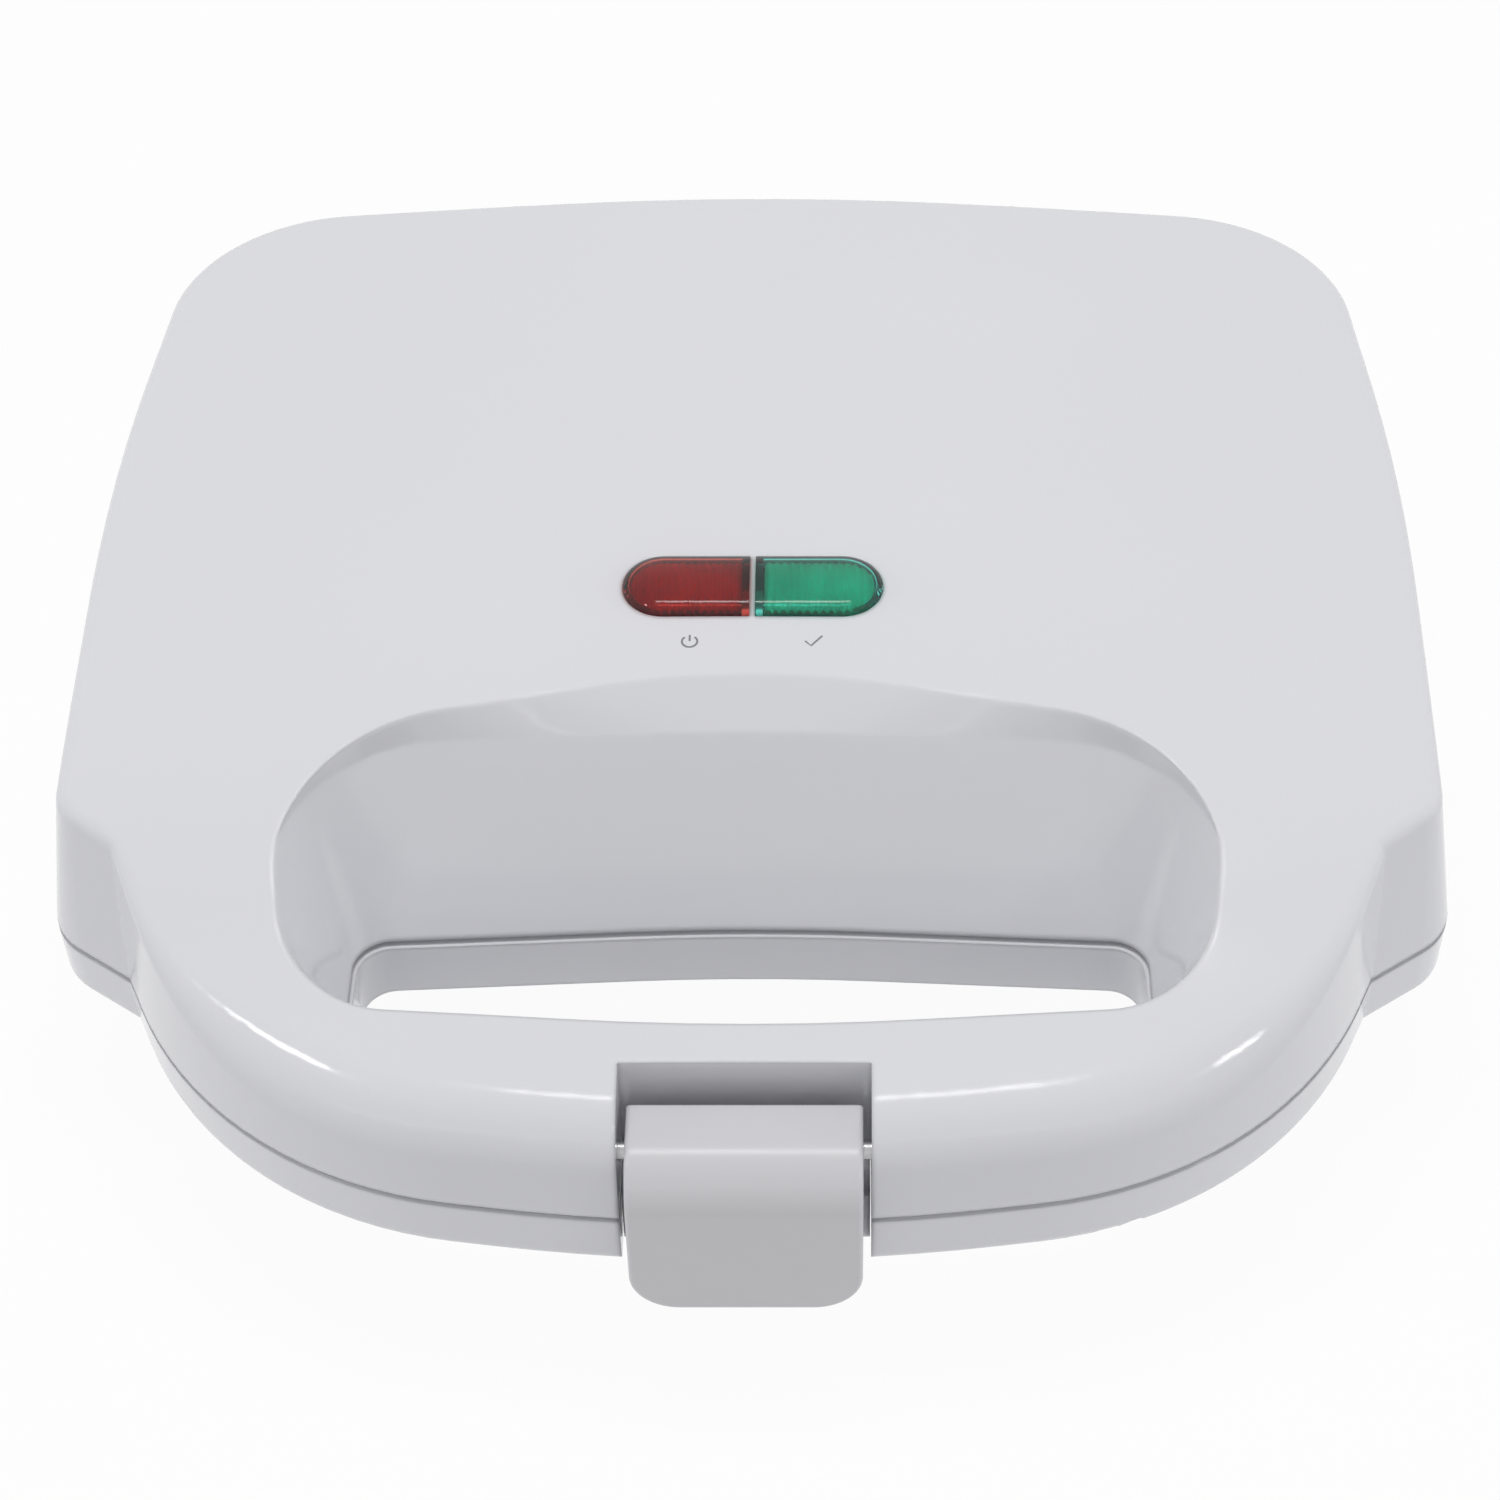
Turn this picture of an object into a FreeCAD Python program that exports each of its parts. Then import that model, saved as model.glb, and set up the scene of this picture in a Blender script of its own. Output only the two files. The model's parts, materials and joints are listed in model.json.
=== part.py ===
import FreeCAD, Part
import math
import os
from FreeCAD import Vector

# Sandwich maker: hinged lid over a base, a two-half loop handle and a latch clip.
# Millimetres. X to the right, Y towards the hinge, Z up.
# Shapes are made with z = 0 at the parting plane between lid and base, and are
# lifted on to their feet when they are saved.

# Body outline at the parting plane
BODY_DEPTH = 183.0
SIDE_HALF = 120.5
FRONT_TAPER = 1.5
REAR_TAPER = 7.9
WIDEST_FROM_REAR = 88.0
FRONT_HALF = SIDE_HALF - FRONT_TAPER
REAR_HALF = SIDE_HALF - REAR_TAPER
SIDE_WIDEST = BODY_DEPTH - WIDEST_FROM_REAR
REAR_BOW = 6.8
FACET_WIDTH = 23.0
FACET_HALF = FRONT_HALF - FACET_WIDTH
FACET_ANGLE = 35.0
FRONT_CORNER_R = 12.0
REAR_CORNER_R = 37.0
SIDE_R = 500.0
REAR_R = 600.0

# Handle loop outline at the parting plane
HANDLE_REACH = 44.6
ROOT_STEP = 6.0
ARM_LEAN = 27.0
HANDLE_ROOT_HALF = FRONT_HALF - ROOT_STEP
HANDLE_ROOT_BACK = 25.0
HANDLE_CORNER_HALF = HANDLE_ROOT_HALF - ARM_LEAN
HANDLE_CORNER_BACK = 12.0
HANDLE_CORNER_R = 70.0
HANDLE_FRONT_R = 300.0

# Finger hole, measured from the front line of the body at the parting plane
ARM_WIDTH = 46.0
HOLE_HALF = HANDLE_ROOT_HALF - ARM_WIDTH
HOLE_REAR = 17.0
HOLE_REAR_BOW = 3.5
HOLE_FRONT = 20.5
HOLE_FRONT_BOW = 5.5
HOLE_REAR_CORNER_R = 6.0
HOLE_FRONT_CORNER_R = 18.0
HOLE_BOW_R = 400.0
SCOOP_HEIGHT = 30.0
SCOOP_REAR = 18.5
SCOOP_SIDE = 10.5
SCOOP_FRONT = 3.0
SCOOP_CORNER_R = 28.0
CRESCENT_HEIGHT = 7.0
CRESCENT_REAR = 10.5
CRESCENT_BOW = 15.0
CRESCENT_R = 150.0
CRESCENT_CORNER_R = 32.0
BASE_LIP = 0.4

# Lid top surface
CROWN_HEIGHT = 37.5
CREST_FROM_FRONT = 92.0
CROWN_LENGTH_R = 1100.0
CROWN_WIDTH_R = 1900.0
SHOULDER_FROM_FRONT = 40.0
SHOULDER_R = 130.0
SHOULDER_ANGLE = 21.0
HANDLE_DIP_R = 120.0
HANDLE_TOP_ANGLE = 5.0
LID_DRAFT = 8.5
LID_EDGE_R = 2.6
HANDLE_EDGE_R = 11.0

# Base
BAND_HEIGHT = 11.5
BAND_DRAFT = 2.0
BAND_EDGE_R = 2.0
TRAY_SETBACK = 3.0
BASE_DEPTH = 36.0
TRAY_SIDE_SLOPE_IN = 20.0
TRAY_FRONT_SLOPE_IN = 28.0
TRAY_CORNER_CUT = 3.5
TRAY_REAR_SLOPE_IN = 9.0
TRAY_CORNER_WIDTH = 18.0
TRAY_FRONT_HALF = FRONT_HALF - TRAY_CORNER_WIDTH
TRAY_FRONT_FACET = 8.0
TRAY_CORNER_R = 10.0
BOTTOM_CORNER_R = 22.0
BOTTOM_SIDE_R = 250.0
BOTTOM_EDGE_R = 2.0

# Walls and gaps
WALL = 2.5
HANDLE_WALL = 6.5
LOWER_HANDLE_WALL = 5.0
PARTING_GAP = 1.0
FRAME_FIT = 0.3
FRAME_THICK = 2.5
FRAME_RECESS = 0.3
RUN_FIT = 0.08
PRESS_FIT = 0.02
SCREW_FIT = 0.15

# Cooking plates
PLATE_FROM_SIDE = 12.5
PLATE_FROM_FRONT = 37.0
PLATE_FROM_REAR = 20.0
PLATE_WIDTH = 2 * (SIDE_HALF - PLATE_FROM_SIDE)
PLATE_DEPTH = BODY_DEPTH - PLATE_FROM_FRONT - PLATE_FROM_REAR
PLATE_CORNER_R = 13.0
PLATE_RIM = 3.0
PLATE_GAP = 0.6
PLATE_FIT = 0.6
POCKET_BORDER = 8.0
POCKET_MIDDLE = 10.0
POCKET_RIDGE = 7.0
POCKET_DEPTH = 12.0
POCKET_TAPER = 5.0
POCKET_CORNER_R = 11.0
POCKET_SHELL = 3.0
POST_R = 4.0
POST_SIDE_X = PLATE_WIDTH / 4
POST_FROM_EDGE = 17.0

# Heating elements and their covers
HEATER_R = 3.3
HEATER_FROM_EDGE = 27.0
HEATER_FROM_SIDE = 16.0
HEATER_END_FROM_SIDE = 32.0
HEATER_RUN_HALF = PLATE_DEPTH / 2 - HEATER_FROM_EDGE
HEATER_BEND_X = PLATE_WIDTH / 2 - HEATER_FROM_SIDE - HEATER_RUN_HALF
HEATER_END_X = HEATER_END_FROM_SIDE - PLATE_WIDTH / 2
TERMINAL_R = 1.25
TERMINAL_LENGTH = 10.0
CLAMP_THICK = 1.2
CLAMP_WIDTH = 14.0
CLAMP_OVERHANG = 6.0
SHEET = 0.8
PAN_FIT = 2.0
PAN_SLOPE_IN = 13.0
PAN_FLANGE = 2.0
EAR_WIDTH = 14.0
EAR_LENGTH = 10.0
EAR_X = 22.0
EAR_HOLE_FROM_FLANGE = 4.5
WIRE_HOLE_R = 3.0

# Fasteners
SCREW_R = 1.5
SCREW_HEAD_R = 2.9
SCREW_HEAD_T = 1.6
SCREW_LENGTH = 9.0
SHORT_SCREW_LENGTH = 5.0
BOSS_R = 4.2
DRIVE_SLOT = 0.8
REAR_SCREW_X = 48.0
REAR_SCREW_FROM_PAN = 4.5
ARM_SCREW_FROM_HOLE = 20.0
ARM_SCREW_X = HOLE_HALF + ARM_SCREW_FROM_HOLE
ARM_SCREW_FROM_FRONT = 2.5

# Indicator lenses and lamps
LENS_FROM_FRONT = 63.2
LENS_LENGTH = 45.0
LENS_WIDTH = 14.4
LENS_BAR = 1.0
LENS_RISE = 2.4
LENS_ROUND = 2.2
LENS_FIT = 0.12
LENS_FLANGE = 1.6
LENS_FLANGE_T = 1.2
LAMP_R = 2.4
LAMP_LENGTH = 13.0
LAMP_X = 11.0
LAMP_DROP = 4.6
HOLDER_WALL = 1.4
HOLDER_LENGTH = 40.0
HOLDER_WIDTH = 9.0
HOLDER_FOOT = 10.0

# Latch
LATCH_WIDTH = 37.5
LATCH_GAP = 1.3
LATCH_PROUD = 3.7
LATCH_THICK = 3.0
LATCH_TOP = 15.0
LATCH_TOP_DEPTH = 15.8
LATCH_BOTTOM = 18.0
LATCH_ROUND = 9.0
LATCH_CORNER_R = 8.0
LATCH_EDGE_R = 0.8
EAR_THICK = 2.6
EAR_BELOW_PIN = 4.6
PIN_BACK = 11.5
PIN_HEIGHT = 9.0
PIN_R = 1.5
PIN_SEAT = 5.0
NOTCH_CLEAR = 0.8
HOOK_HALF = 13.0
HOOK_THICK = 3.0
HOOK_CLEAR = 0.6
CATCH_BACK = 6.0
HOOK_GAP = 0.7

# Hinge
HINGE_SETBACK = 4.0
BARREL_R = 6.0
HINGE_PIN_R = 2.0
HINGE_FROM_SIDE = 36.6
HINGE_X = REAR_HALF - HINGE_FROM_SIDE
LID_KNUCKLE = 10.0
BASE_KNUCKLE = 8.0
KNUCKLE_GAP = 0.5
KNUCKLE_WEB = 5.0

# Feet, cord inlet and terminals
FOOT_R = 7.5
FOOT_HEIGHT = 4.0
FOOT_EDGE_R = 1.0
FOOT_PEG_R = 2.6
FOOT_INSET = 14.0
INLET_Z = -22.0
INLET_PAD_HALF = 12.0
INLET_PAD_HEIGHT = 19.0
INLET_BORE_R = 3.6
INLET_SLEEVE_R = 5.5
INLET_FLANGE_R = 8.0
INLET_FLANGE_T = 2.0
INLET_INSIDE = 3.0
INLET_FIT = 0.15
CATCH_FIT = 0.15
BLOCK_LENGTH = 26.0
BLOCK_WIDTH = 13.0
BLOCK_HEIGHT = 7.0
BLOCK_FROM_REAR = 34.0
BLOCK_POLES = 3
BLOCK_SCREW_R = 1.8
BLOCK_SCREW_DEPTH = 4.0
THERMOSTAT_R = 7.0
THERMOSTAT_HEIGHT = 5.5
THERMOSTAT_X = 26.0
THERMOSTAT_TAB = 5.0
FUSE_R = 2.0
FUSE_LENGTH = 12.0
FUSE_X = -26.0
WIRE_R = 1.1
WIRE_BEND = 5.0
WIRE_CLEAR = 2.0

# Places worked out from the sizes above
OVERALL_DEPTH = LATCH_PROUD + HANDLE_REACH + BODY_DEPTH + HINGE_SETBACK + BARREL_R
LATCH_FRONT = -OVERALL_DEPTH / 2
HANDLE_FRONT = LATCH_FRONT + LATCH_PROUD
BODY_FRONT = HANDLE_FRONT + HANDLE_REACH
REAR_WALL = BODY_FRONT + BODY_DEPTH
HINGE_Y = REAR_WALL + HINGE_SETBACK
PARTING_HEIGHT = FOOT_HEIGHT + BASE_DEPTH
TRAY_START = BAND_HEIGHT - WALL
EDGE = PARTING_GAP / 2
FRAME_FACE = EDGE + FRAME_RECESS
FRAME_BACK = FRAME_FACE + FRAME_THICK
PLATE_FACE = PLATE_GAP / 2
PLATE_FRONT = BODY_FRONT + PLATE_FROM_FRONT
PLATE_Y = PLATE_FRONT + PLATE_DEPTH / 2
POCKET_BACK = PLATE_FACE + POCKET_DEPTH + POCKET_SHELL
HEATER_Z = POCKET_BACK + HEATER_R
CLAMP_Z = POCKET_BACK + 2 * HEATER_R
PAN_Z = CLAMP_Z + CLAMP_THICK
LENS_Y = BODY_FRONT + LENS_FROM_FRONT
ABOVE_ALL = CROWN_HEIGHT + 30.0
ANGLE_MARGIN = 1.2

X_RIGHT = Vector(1, 0, 0)
Z_UP = Vector(0, 0, 1)


def spot(x, y, z=0.0):
    return Vector(x, y, z)


def box(low, high):
    size = high - low
    return Part.makeBox(size.x, size.y, size.z, low)


def rod(radius, start, end):
    run = end - start
    return Part.makeCylinder(radius, run.Length, start, run)


def mirrored(shape):
    return shape.mirror(spot(0, 0), Z_UP)


def union(shapes):
    result = shapes[0]
    for shape in shapes[1:]:
        result = result.fuse(shape)
    return result


def both_sides(points):
    """A symmetric outline from the points of its right half, front to rear."""
    left = [spot(-p.x, p.y) for p in reversed(points) if p.x > 0]
    return points + left


def inset(points, distance):
    """Move every side of a counter-clockwise outline inwards by one distance."""
    return inset_each(points, [distance] * len(points))


def inset_each(points, distances):
    """Move each side of an outline inwards by its own distance; side i runs from point i."""
    count = len(points)
    moved = []
    for i in range(count):
        before = (points[i] - points[i - 1]).normalize()
        after = (points[(i + 1) % count] - points[i]).normalize()
        cross = before.x * after.y - before.y * after.x
        shift = before * distances[i] - after * distances[i - 1]
        moved.append(points[i] - shift * (1 / cross))
    return moved


def rounded_wire(points, radii, z):
    """A closed wire of straight runs joined by tangent arcs; a radius of 0 leaves a sharp corner."""
    count = len(points)
    lift = spot(0, 0, z)
    corners = []
    for i in range(count):
        corner = points[i]
        back = (points[i - 1] - corner).normalize()
        ahead = (points[(i + 1) % count] - corner).normalize()
        half = back.getAngle(ahead) / 2
        inward = (back + ahead).normalize()
        reach = radii[i] / math.tan(half)
        middle = corner + inward * (radii[i] / math.sin(half) - radii[i])
        corners.append([p + lift for p in (corner + back * reach, middle, corner + ahead * reach)])
    edges = []
    for i in range(count):
        start, middle, end = corners[i]
        following = corners[(i + 1) % count][0]
        if radii[i] > 0:
            edges.append(Part.Arc(start, middle, end).toShape())
        edges.append(Part.LineSegment(end, following).toShape())
    return Part.Wire(edges)


def smaller(radii, distance):
    """Corner radii after the sides have moved inwards; sharp corners stay sharp."""
    return [r - distance if r > 0 else 0 for r in radii]


def tapered(points, radii, z_low, z_high, slope, start_inset=0.0):
    """A block whose sides lean in by slope as it goes from z_low to z_high."""
    end_inset = start_inset + abs(z_high - z_low) * slope
    low = rounded_wire(inset(points, start_inset), smaller(radii, start_inset), z_low)
    high = rounded_wire(inset(points, end_inset), smaller(radii, end_inset), z_high)
    return Part.makeLoft([low, high], True, True)


def straight(points, radii, z_low, z_high):
    face = Part.Face(rounded_wire(points, radii, z_low))
    return face.extrude(spot(0, 0, z_high - z_low))


def body_outline():
    facet_rise = (FRONT_HALF - FACET_HALF) * math.tan(math.radians(FACET_ANGLE))
    points = [
        spot(FACET_HALF, BODY_FRONT),
        spot(FRONT_HALF, BODY_FRONT + facet_rise),
        spot(SIDE_HALF, BODY_FRONT + SIDE_WIDEST),
        spot(REAR_HALF, REAR_WALL - REAR_BOW),
        spot(0, REAR_WALL),
    ]
    half_radii = [FRONT_CORNER_R, FRONT_CORNER_R, SIDE_R, REAR_CORNER_R]
    return both_sides(points), half_radii + [REAR_R] + half_radii[::-1]


def handle_outline():
    points = [
        spot(0, HANDLE_FRONT - HANDLE_FRONT_R * handle_apex()),
        spot(HANDLE_CORNER_HALF, HANDLE_FRONT + HANDLE_CORNER_BACK - HANDLE_FRONT_R * handle_apex()),
        spot(HANDLE_ROOT_HALF, BODY_FRONT + HANDLE_ROOT_BACK),
    ]
    radii = [HANDLE_FRONT_R, HANDLE_CORNER_R, 0]
    return both_sides(points), radii + radii[:0:-1]


def handle_apex():
    """How far the front corner point stands out past the rounded front, per unit of radius."""
    slope = math.atan(HANDLE_CORNER_BACK / HANDLE_CORNER_HALF)
    return 1 / math.cos(slope) - 1


def hole_outline(rear=0.0, side=0.0, front=0.0, rear_bow=HOLE_REAR_BOW):
    """The finger hole, opened out towards the rear, the sides and the front."""
    points = [
        spot(0, BODY_FRONT - HOLE_FRONT - front),
        spot(HOLE_HALF + side, BODY_FRONT - HOLE_FRONT + HOLE_FRONT_BOW - front),
        spot(HOLE_HALF + side, BODY_FRONT + HOLE_REAR - rear_bow + rear),
        spot(0, BODY_FRONT + HOLE_REAR + rear),
    ]
    return both_sides(points)


def hole_radii(rear_corner, rear_bow_radius=HOLE_BOW_R):
    corners = [HOLE_FRONT_CORNER_R, rear_corner]
    return [HOLE_BOW_R] + corners + [rear_bow_radius] + corners[::-1]


def scoop(grow):
    """The drafted hole through the lid's handle, with the crescent bevel behind it."""
    bottom = inset(hole_outline(), -grow)
    waist = inset(hole_outline(SCOOP_REAR, SCOOP_SIDE, SCOOP_FRONT), -grow)
    crescent_rear = SCOOP_REAR + CRESCENT_REAR
    rim = inset(hole_outline(crescent_rear, SCOOP_SIDE, SCOOP_FRONT, CRESCENT_BOW), -grow)
    rim_radii = hole_radii(CRESCENT_CORNER_R + grow, CRESCENT_R)
    top = SCOOP_HEIGHT + CRESCENT_HEIGHT
    low = -PARTING_GAP
    drafted = Part.makeLoft([
        rounded_wire(bottom, hole_radii(HOLE_REAR_CORNER_R + grow), 0),
        rounded_wire(waist, hole_radii(SCOOP_CORNER_R + grow), SCOOP_HEIGHT),
        rounded_wire(rim, rim_radii, top),
    ], True, True)
    below = straight(bottom, hole_radii(HOLE_REAR_CORNER_R + grow), low, 0)
    above = straight(rim, rim_radii, top, ABOVE_ALL)
    return union([drafted, below, above])


def crown_stations():
    """Where the lid's top profile changes curve: places (y, z) with their slope angles."""
    crest_y = BODY_FRONT + CREST_FROM_FRONT
    first_y = BODY_FRONT + SHOULDER_FROM_FRONT
    first = math.asin((crest_y - first_y) / CROWN_LENGTH_R)
    steep = math.radians(SHOULDER_ANGLE)
    last = math.radians(HANDLE_TOP_ANGLE)
    first_z = CROWN_HEIGHT - CROWN_LENGTH_R * (1 - math.cos(first))
    second_y = first_y - SHOULDER_R * (math.sin(steep) - math.sin(first))
    second_z = first_z - SHOULDER_R * (math.cos(first) - math.cos(steep))
    third_y = second_y - HANDLE_DIP_R * (math.sin(steep) - math.sin(last))
    third_z = second_z - HANDLE_DIP_R * (math.cos(last) - math.cos(steep))
    return (first_y, first_z, first), (second_y, second_z, steep), (third_y, third_z, last)


def profile_height(y):
    """Height of the lid's top on its centre line."""
    (y1, z1, a1), (y2, z2, a2), (y3, z3, a3) = crown_stations()
    if y >= y1:
        run = y - (BODY_FRONT + CREST_FROM_FRONT)
        return CROWN_HEIGHT - CROWN_LENGTH_R + math.sqrt(CROWN_LENGTH_R ** 2 - run ** 2)
    if y >= y2:
        sine = math.sin(a1) + (y1 - y) / SHOULDER_R
        return z1 - SHOULDER_R * (math.cos(a1) - math.sqrt(1 - sine ** 2))
    if y >= y3:
        sine = math.sin(a2) - (y2 - y) / HANDLE_DIP_R
        return z2 - HANDLE_DIP_R * (math.sqrt(1 - sine ** 2) - math.cos(a2))
    return z3 - (y3 - y) * math.tan(a3)


def top_height(x, y):
    """Height of the lid's top surface: its profile turned about a long axis under the lid."""
    axis_z = CROWN_HEIGHT - CROWN_WIDTH_R
    radius = profile_height(y) - axis_z
    return axis_z + math.sqrt(radius ** 2 - x ** 2)


def above_crown(drop=0.0):
    """Everything above the lid's top surface, lowered by drop."""
    (y1, z1, a1), (y2, z2, a2), (y3, z3, a3) = crown_stations()
    margin = REAR_CORNER_R
    rear = REAR_WALL + margin
    front = LATCH_FRONT - margin
    crest = BODY_FRONT + CREST_FROM_FRONT

    def point(y):
        return spot(0, y, profile_height(y) - drop)

    edges = [
        Part.Arc(point(rear), point(crest), point(y1)).toShape(),
        Part.Arc(point(y1), point((y1 + y2) / 2), point(y2)).toShape(),
        Part.Arc(point(y2), point((y2 + y3) / 2), point(y3)).toShape(),
        Part.LineSegment(point(y3), point(front)).toShape(),
        Part.LineSegment(point(front), spot(0, front, ABOVE_ALL)).toShape(),
        Part.LineSegment(spot(0, front, ABOVE_ALL), spot(0, rear, ABOVE_ALL)).toShape(),
        Part.LineSegment(spot(0, rear, ABOVE_ALL), point(rear)).toShape(),
    ]
    face = Part.Face(Part.Wire(edges))
    axis = spot(0, 0, CROWN_HEIGHT - CROWN_WIDTH_R - drop)
    half_turn = ANGLE_MARGIN * math.degrees(SIDE_HALF / CROWN_WIDTH_R)
    face.rotate(axis, Vector(0, 1, 0), -half_turn)
    return face.revolve(axis, Vector(0, 1, 0), 2 * half_turn)


def top_edges(block, keep):
    """The edges of a block that lie on the lid's top surface and pass the keep test."""
    found = []
    for edge in block.Edges:
        middle = edge.valueAt((edge.FirstParameter + edge.LastParameter) / 2)
        on_top = abs(middle.z - top_height(middle.x, middle.y)) < 0.02
        if on_top and abs(middle.x) > 1e-3 and keep(middle):
            found.append(edge)
    return found


def lid_body_block(drop, wall):
    points, radii = body_outline()
    slope = math.tan(math.radians(LID_DRAFT))
    block = tapered(points, radii, EDGE, CROWN_HEIGHT + WALL, slope, wall)
    return block.cut(above_crown(drop))


def lid_handle_block(drop, wall):
    points, radii = handle_outline()
    slope = math.tan(math.radians(LID_DRAFT / 2))
    block = tapered(points, radii, EDGE, CROWN_HEIGHT + WALL, slope, wall)
    return block.cut(above_crown(drop))


def notch(half, back, z_low, z_high):
    return box(spot(-half, LATCH_FRONT - WALL, z_low), spot(half, back, z_high))


def notch_half():
    return LATCH_WIDTH / 2 + LATCH_GAP


def pin_place():
    return spot(0, LATCH_FRONT + PIN_BACK, PIN_HEIGHT)


def notch_back():
    """Far enough behind the pin for the latch's top edge to swing past."""
    reach = math.hypot(LATCH_TOP_DEPTH - PIN_BACK, LATCH_TOP - PIN_HEIGHT)
    return pin_place().y + reach + NOTCH_CLEAR


def lid_solid():
    body = lid_body_block(0, 0)
    front_line = BODY_FRONT + LID_EDGE_R
    edges = top_edges(body, lambda p: p.y > front_line or abs(p.x) > FACET_HALF - FRONT_CORNER_R)
    body = body.makeFillet(LID_EDGE_R, edges)
    right = rounded_handle_half()
    left = right.mirror(spot(0, 0), X_RIGHT)
    return body.fuse(right.fuse(left)).cut(scoop(0))


def rounded_handle_half():
    """The right half of the handle, whose top edge is crisp at the body and full at the front."""
    right_side = box(spot(0, LATCH_FRONT - WALL, 0), spot(SIDE_HALF, REAR_WALL, ABOVE_ALL))
    half = lid_handle_block(0, 0).common(right_side)
    rear_line = BODY_FRONT + HANDLE_ROOT_BACK - 2 * LID_EDGE_R
    arm_edges = top_edges(half, lambda p: p.y < rear_line and p.x > HOLE_HALF)
    arm = max(arm_edges, key=lambda e: e.Length)
    return half.makeFillet(LID_EDGE_R, HANDLE_EDGE_R, [arm])


def lid_cavity(fit):
    """The hollow of the lid, or with a fit the shape of what drops into it."""
    inside = lid_body_block(WALL + fit, WALL + fit)
    arms = lid_handle_block(HANDLE_WALL + fit, HANDLE_WALL + fit)
    hollow = inside.fuse(arms).cut(scoop(WALL + fit))
    bridge_half = notch_half() + PIN_SEAT + WALL + fit
    behind = BODY_FRONT - HOLE_FRONT + HOLE_FRONT_BOW
    return hollow.cut(notch(bridge_half, behind, -PARTING_GAP, ABOVE_ALL))


def screw_places():
    rear_y = PLATE_FRONT + PLATE_DEPTH + PAN_FIT + PAN_FLANGE + REAR_SCREW_FROM_PAN
    arm_y = BODY_FRONT + ARM_SCREW_FROM_FRONT
    places = []
    for side in (-1, 1):
        places.append(spot(side * REAR_SCREW_X, rear_y))
        places.append(spot(side * ARM_SCREW_X, arm_y))
    return places


def ear_places():
    near = PLATE_FRONT - PAN_FIT - PAN_FLANGE - EAR_HOLE_FROM_FLANGE
    far = PLATE_FRONT + PLATE_DEPTH + PAN_FIT + PAN_FLANGE + EAR_HOLE_FROM_FLANGE
    return [spot(side * EAR_X, y) for side in (-1, 1) for y in (near, far)]


def lens_half(side, grow, z_low, z_high):
    """One half of the pill-shaped window, from the middle bar outwards."""
    centre_x = LENS_LENGTH / 2 - LENS_WIDTH / 2
    radius = LENS_WIDTH / 2 + grow
    inner_x = LENS_BAR / 2 - min(grow, 0)
    block = box(spot(inner_x, LENS_Y - radius, z_low), spot(centre_x, LENS_Y + radius, z_high))
    end = rod(radius, spot(centre_x, LENS_Y, z_low), spot(centre_x, LENS_Y, z_high))
    shape = block.fuse(end).removeSplitter()
    if side < 0:
        shape = shape.mirror(spot(0, 0), Vector(1, 0, 0))
    return shape


def lid_knuckle(side):
    x_low = side * HINGE_X - LID_KNUCKLE / 2
    x_high = side * HINGE_X + LID_KNUCKLE / 2
    barrel = rod(BARREL_R, spot(x_low, HINGE_Y, 0), spot(x_high, HINGE_Y, 0))
    web_start = REAR_WALL - REAR_BOW - WALL
    web = box(spot(x_low, web_start, EDGE), spot(x_high, HINGE_Y, EDGE + KNUCKLE_WEB))
    bore = hinge_rod(side, HINGE_PIN_R + RUN_FIT, BASE_KNUCKLE)
    return barrel.fuse(web), bore


def hinge_rod(side, radius, margin=0.0):
    half = LID_KNUCKLE / 2 + KNUCKLE_GAP + BASE_KNUCKLE + margin
    return rod(radius, spot(side * HINGE_X - half, HINGE_Y), spot(side * HINGE_X + half, HINGE_Y))


def lid_cover():
    shell = lid_solid().cut(lid_cavity(0))
    bosses = []
    for place in screw_places():
        boss = rod(BOSS_R, place + spot(0, 0, FRAME_BACK), place + spot(0, 0, CROWN_HEIGHT))
        pilot = rod(SCREW_R, place, place + spot(0, 0, FRAME_BACK + SCREW_LENGTH))
        bosses.append(boss.cut(above_crown(WALL / 2)).cut(pilot))
    shell = union([shell] + bosses)
    shell = shell.cut(notch(notch_half(), notch_back(), -PARTING_GAP, ABOVE_ALL))
    shell = shell.cut(latch_pin(PRESS_FIT))
    for side in (-1, 1):
        shell = shell.cut(lens_half(side, 0, PAN_Z, ABOVE_ALL))
        knuckle, bore = lid_knuckle(side)
        shell = shell.fuse(knuckle.cut(lid_cavity(0))).cut(bore)
    return shell.removeSplitter()


def latch_pin(grow=0.0):
    half = notch_half() + PIN_SEAT
    place = pin_place()
    return rod(PIN_R + grow, place - spot(half, 0), place + spot(half, 0))


def plate_outline(grow):
    half_x = PLATE_WIDTH / 2
    half_y = PLATE_DEPTH / 2
    points = [
        spot(-half_x, PLATE_Y - half_y),
        spot(half_x, PLATE_Y - half_y),
        spot(half_x, PLATE_Y + half_y),
        spot(-half_x, PLATE_Y + half_y),
    ]
    return inset(points, -grow), [PLATE_CORNER_R + grow] * 4


def plate_window(fit):
    points, radii = plate_outline(fit)
    return straight(points, radii, -FRAME_BACK, 2 * FRAME_BACK)


def slab(z_low, z_high):
    reach = 2 * SIDE_HALF
    return box(spot(-reach, -reach, z_low), spot(reach, reach, z_high))


def lid_frame():
    """The inner frame that closes the lid and its handle half around the plate."""
    frame = lid_cavity(FRAME_FIT).common(slab(FRAME_FACE, FRAME_BACK))
    frame = frame.cut(plate_window(PLATE_FIT))
    for place in screw_places():
        frame = frame.cut(rod(SCREW_R + SCREW_FIT, place, place + spot(0, 0, FRAME_BACK + WALL)))
        sink = place + spot(0, 0, FRAME_FACE + SCREW_HEAD_T / 2)
        frame = frame.cut(rod(SCREW_HEAD_R + SCREW_FIT, place, sink))
    for place in ear_places():
        frame = frame.cut(rod(SCREW_R, place, place + spot(0, 0, FRAME_BACK + WALL)))
    return frame


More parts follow.
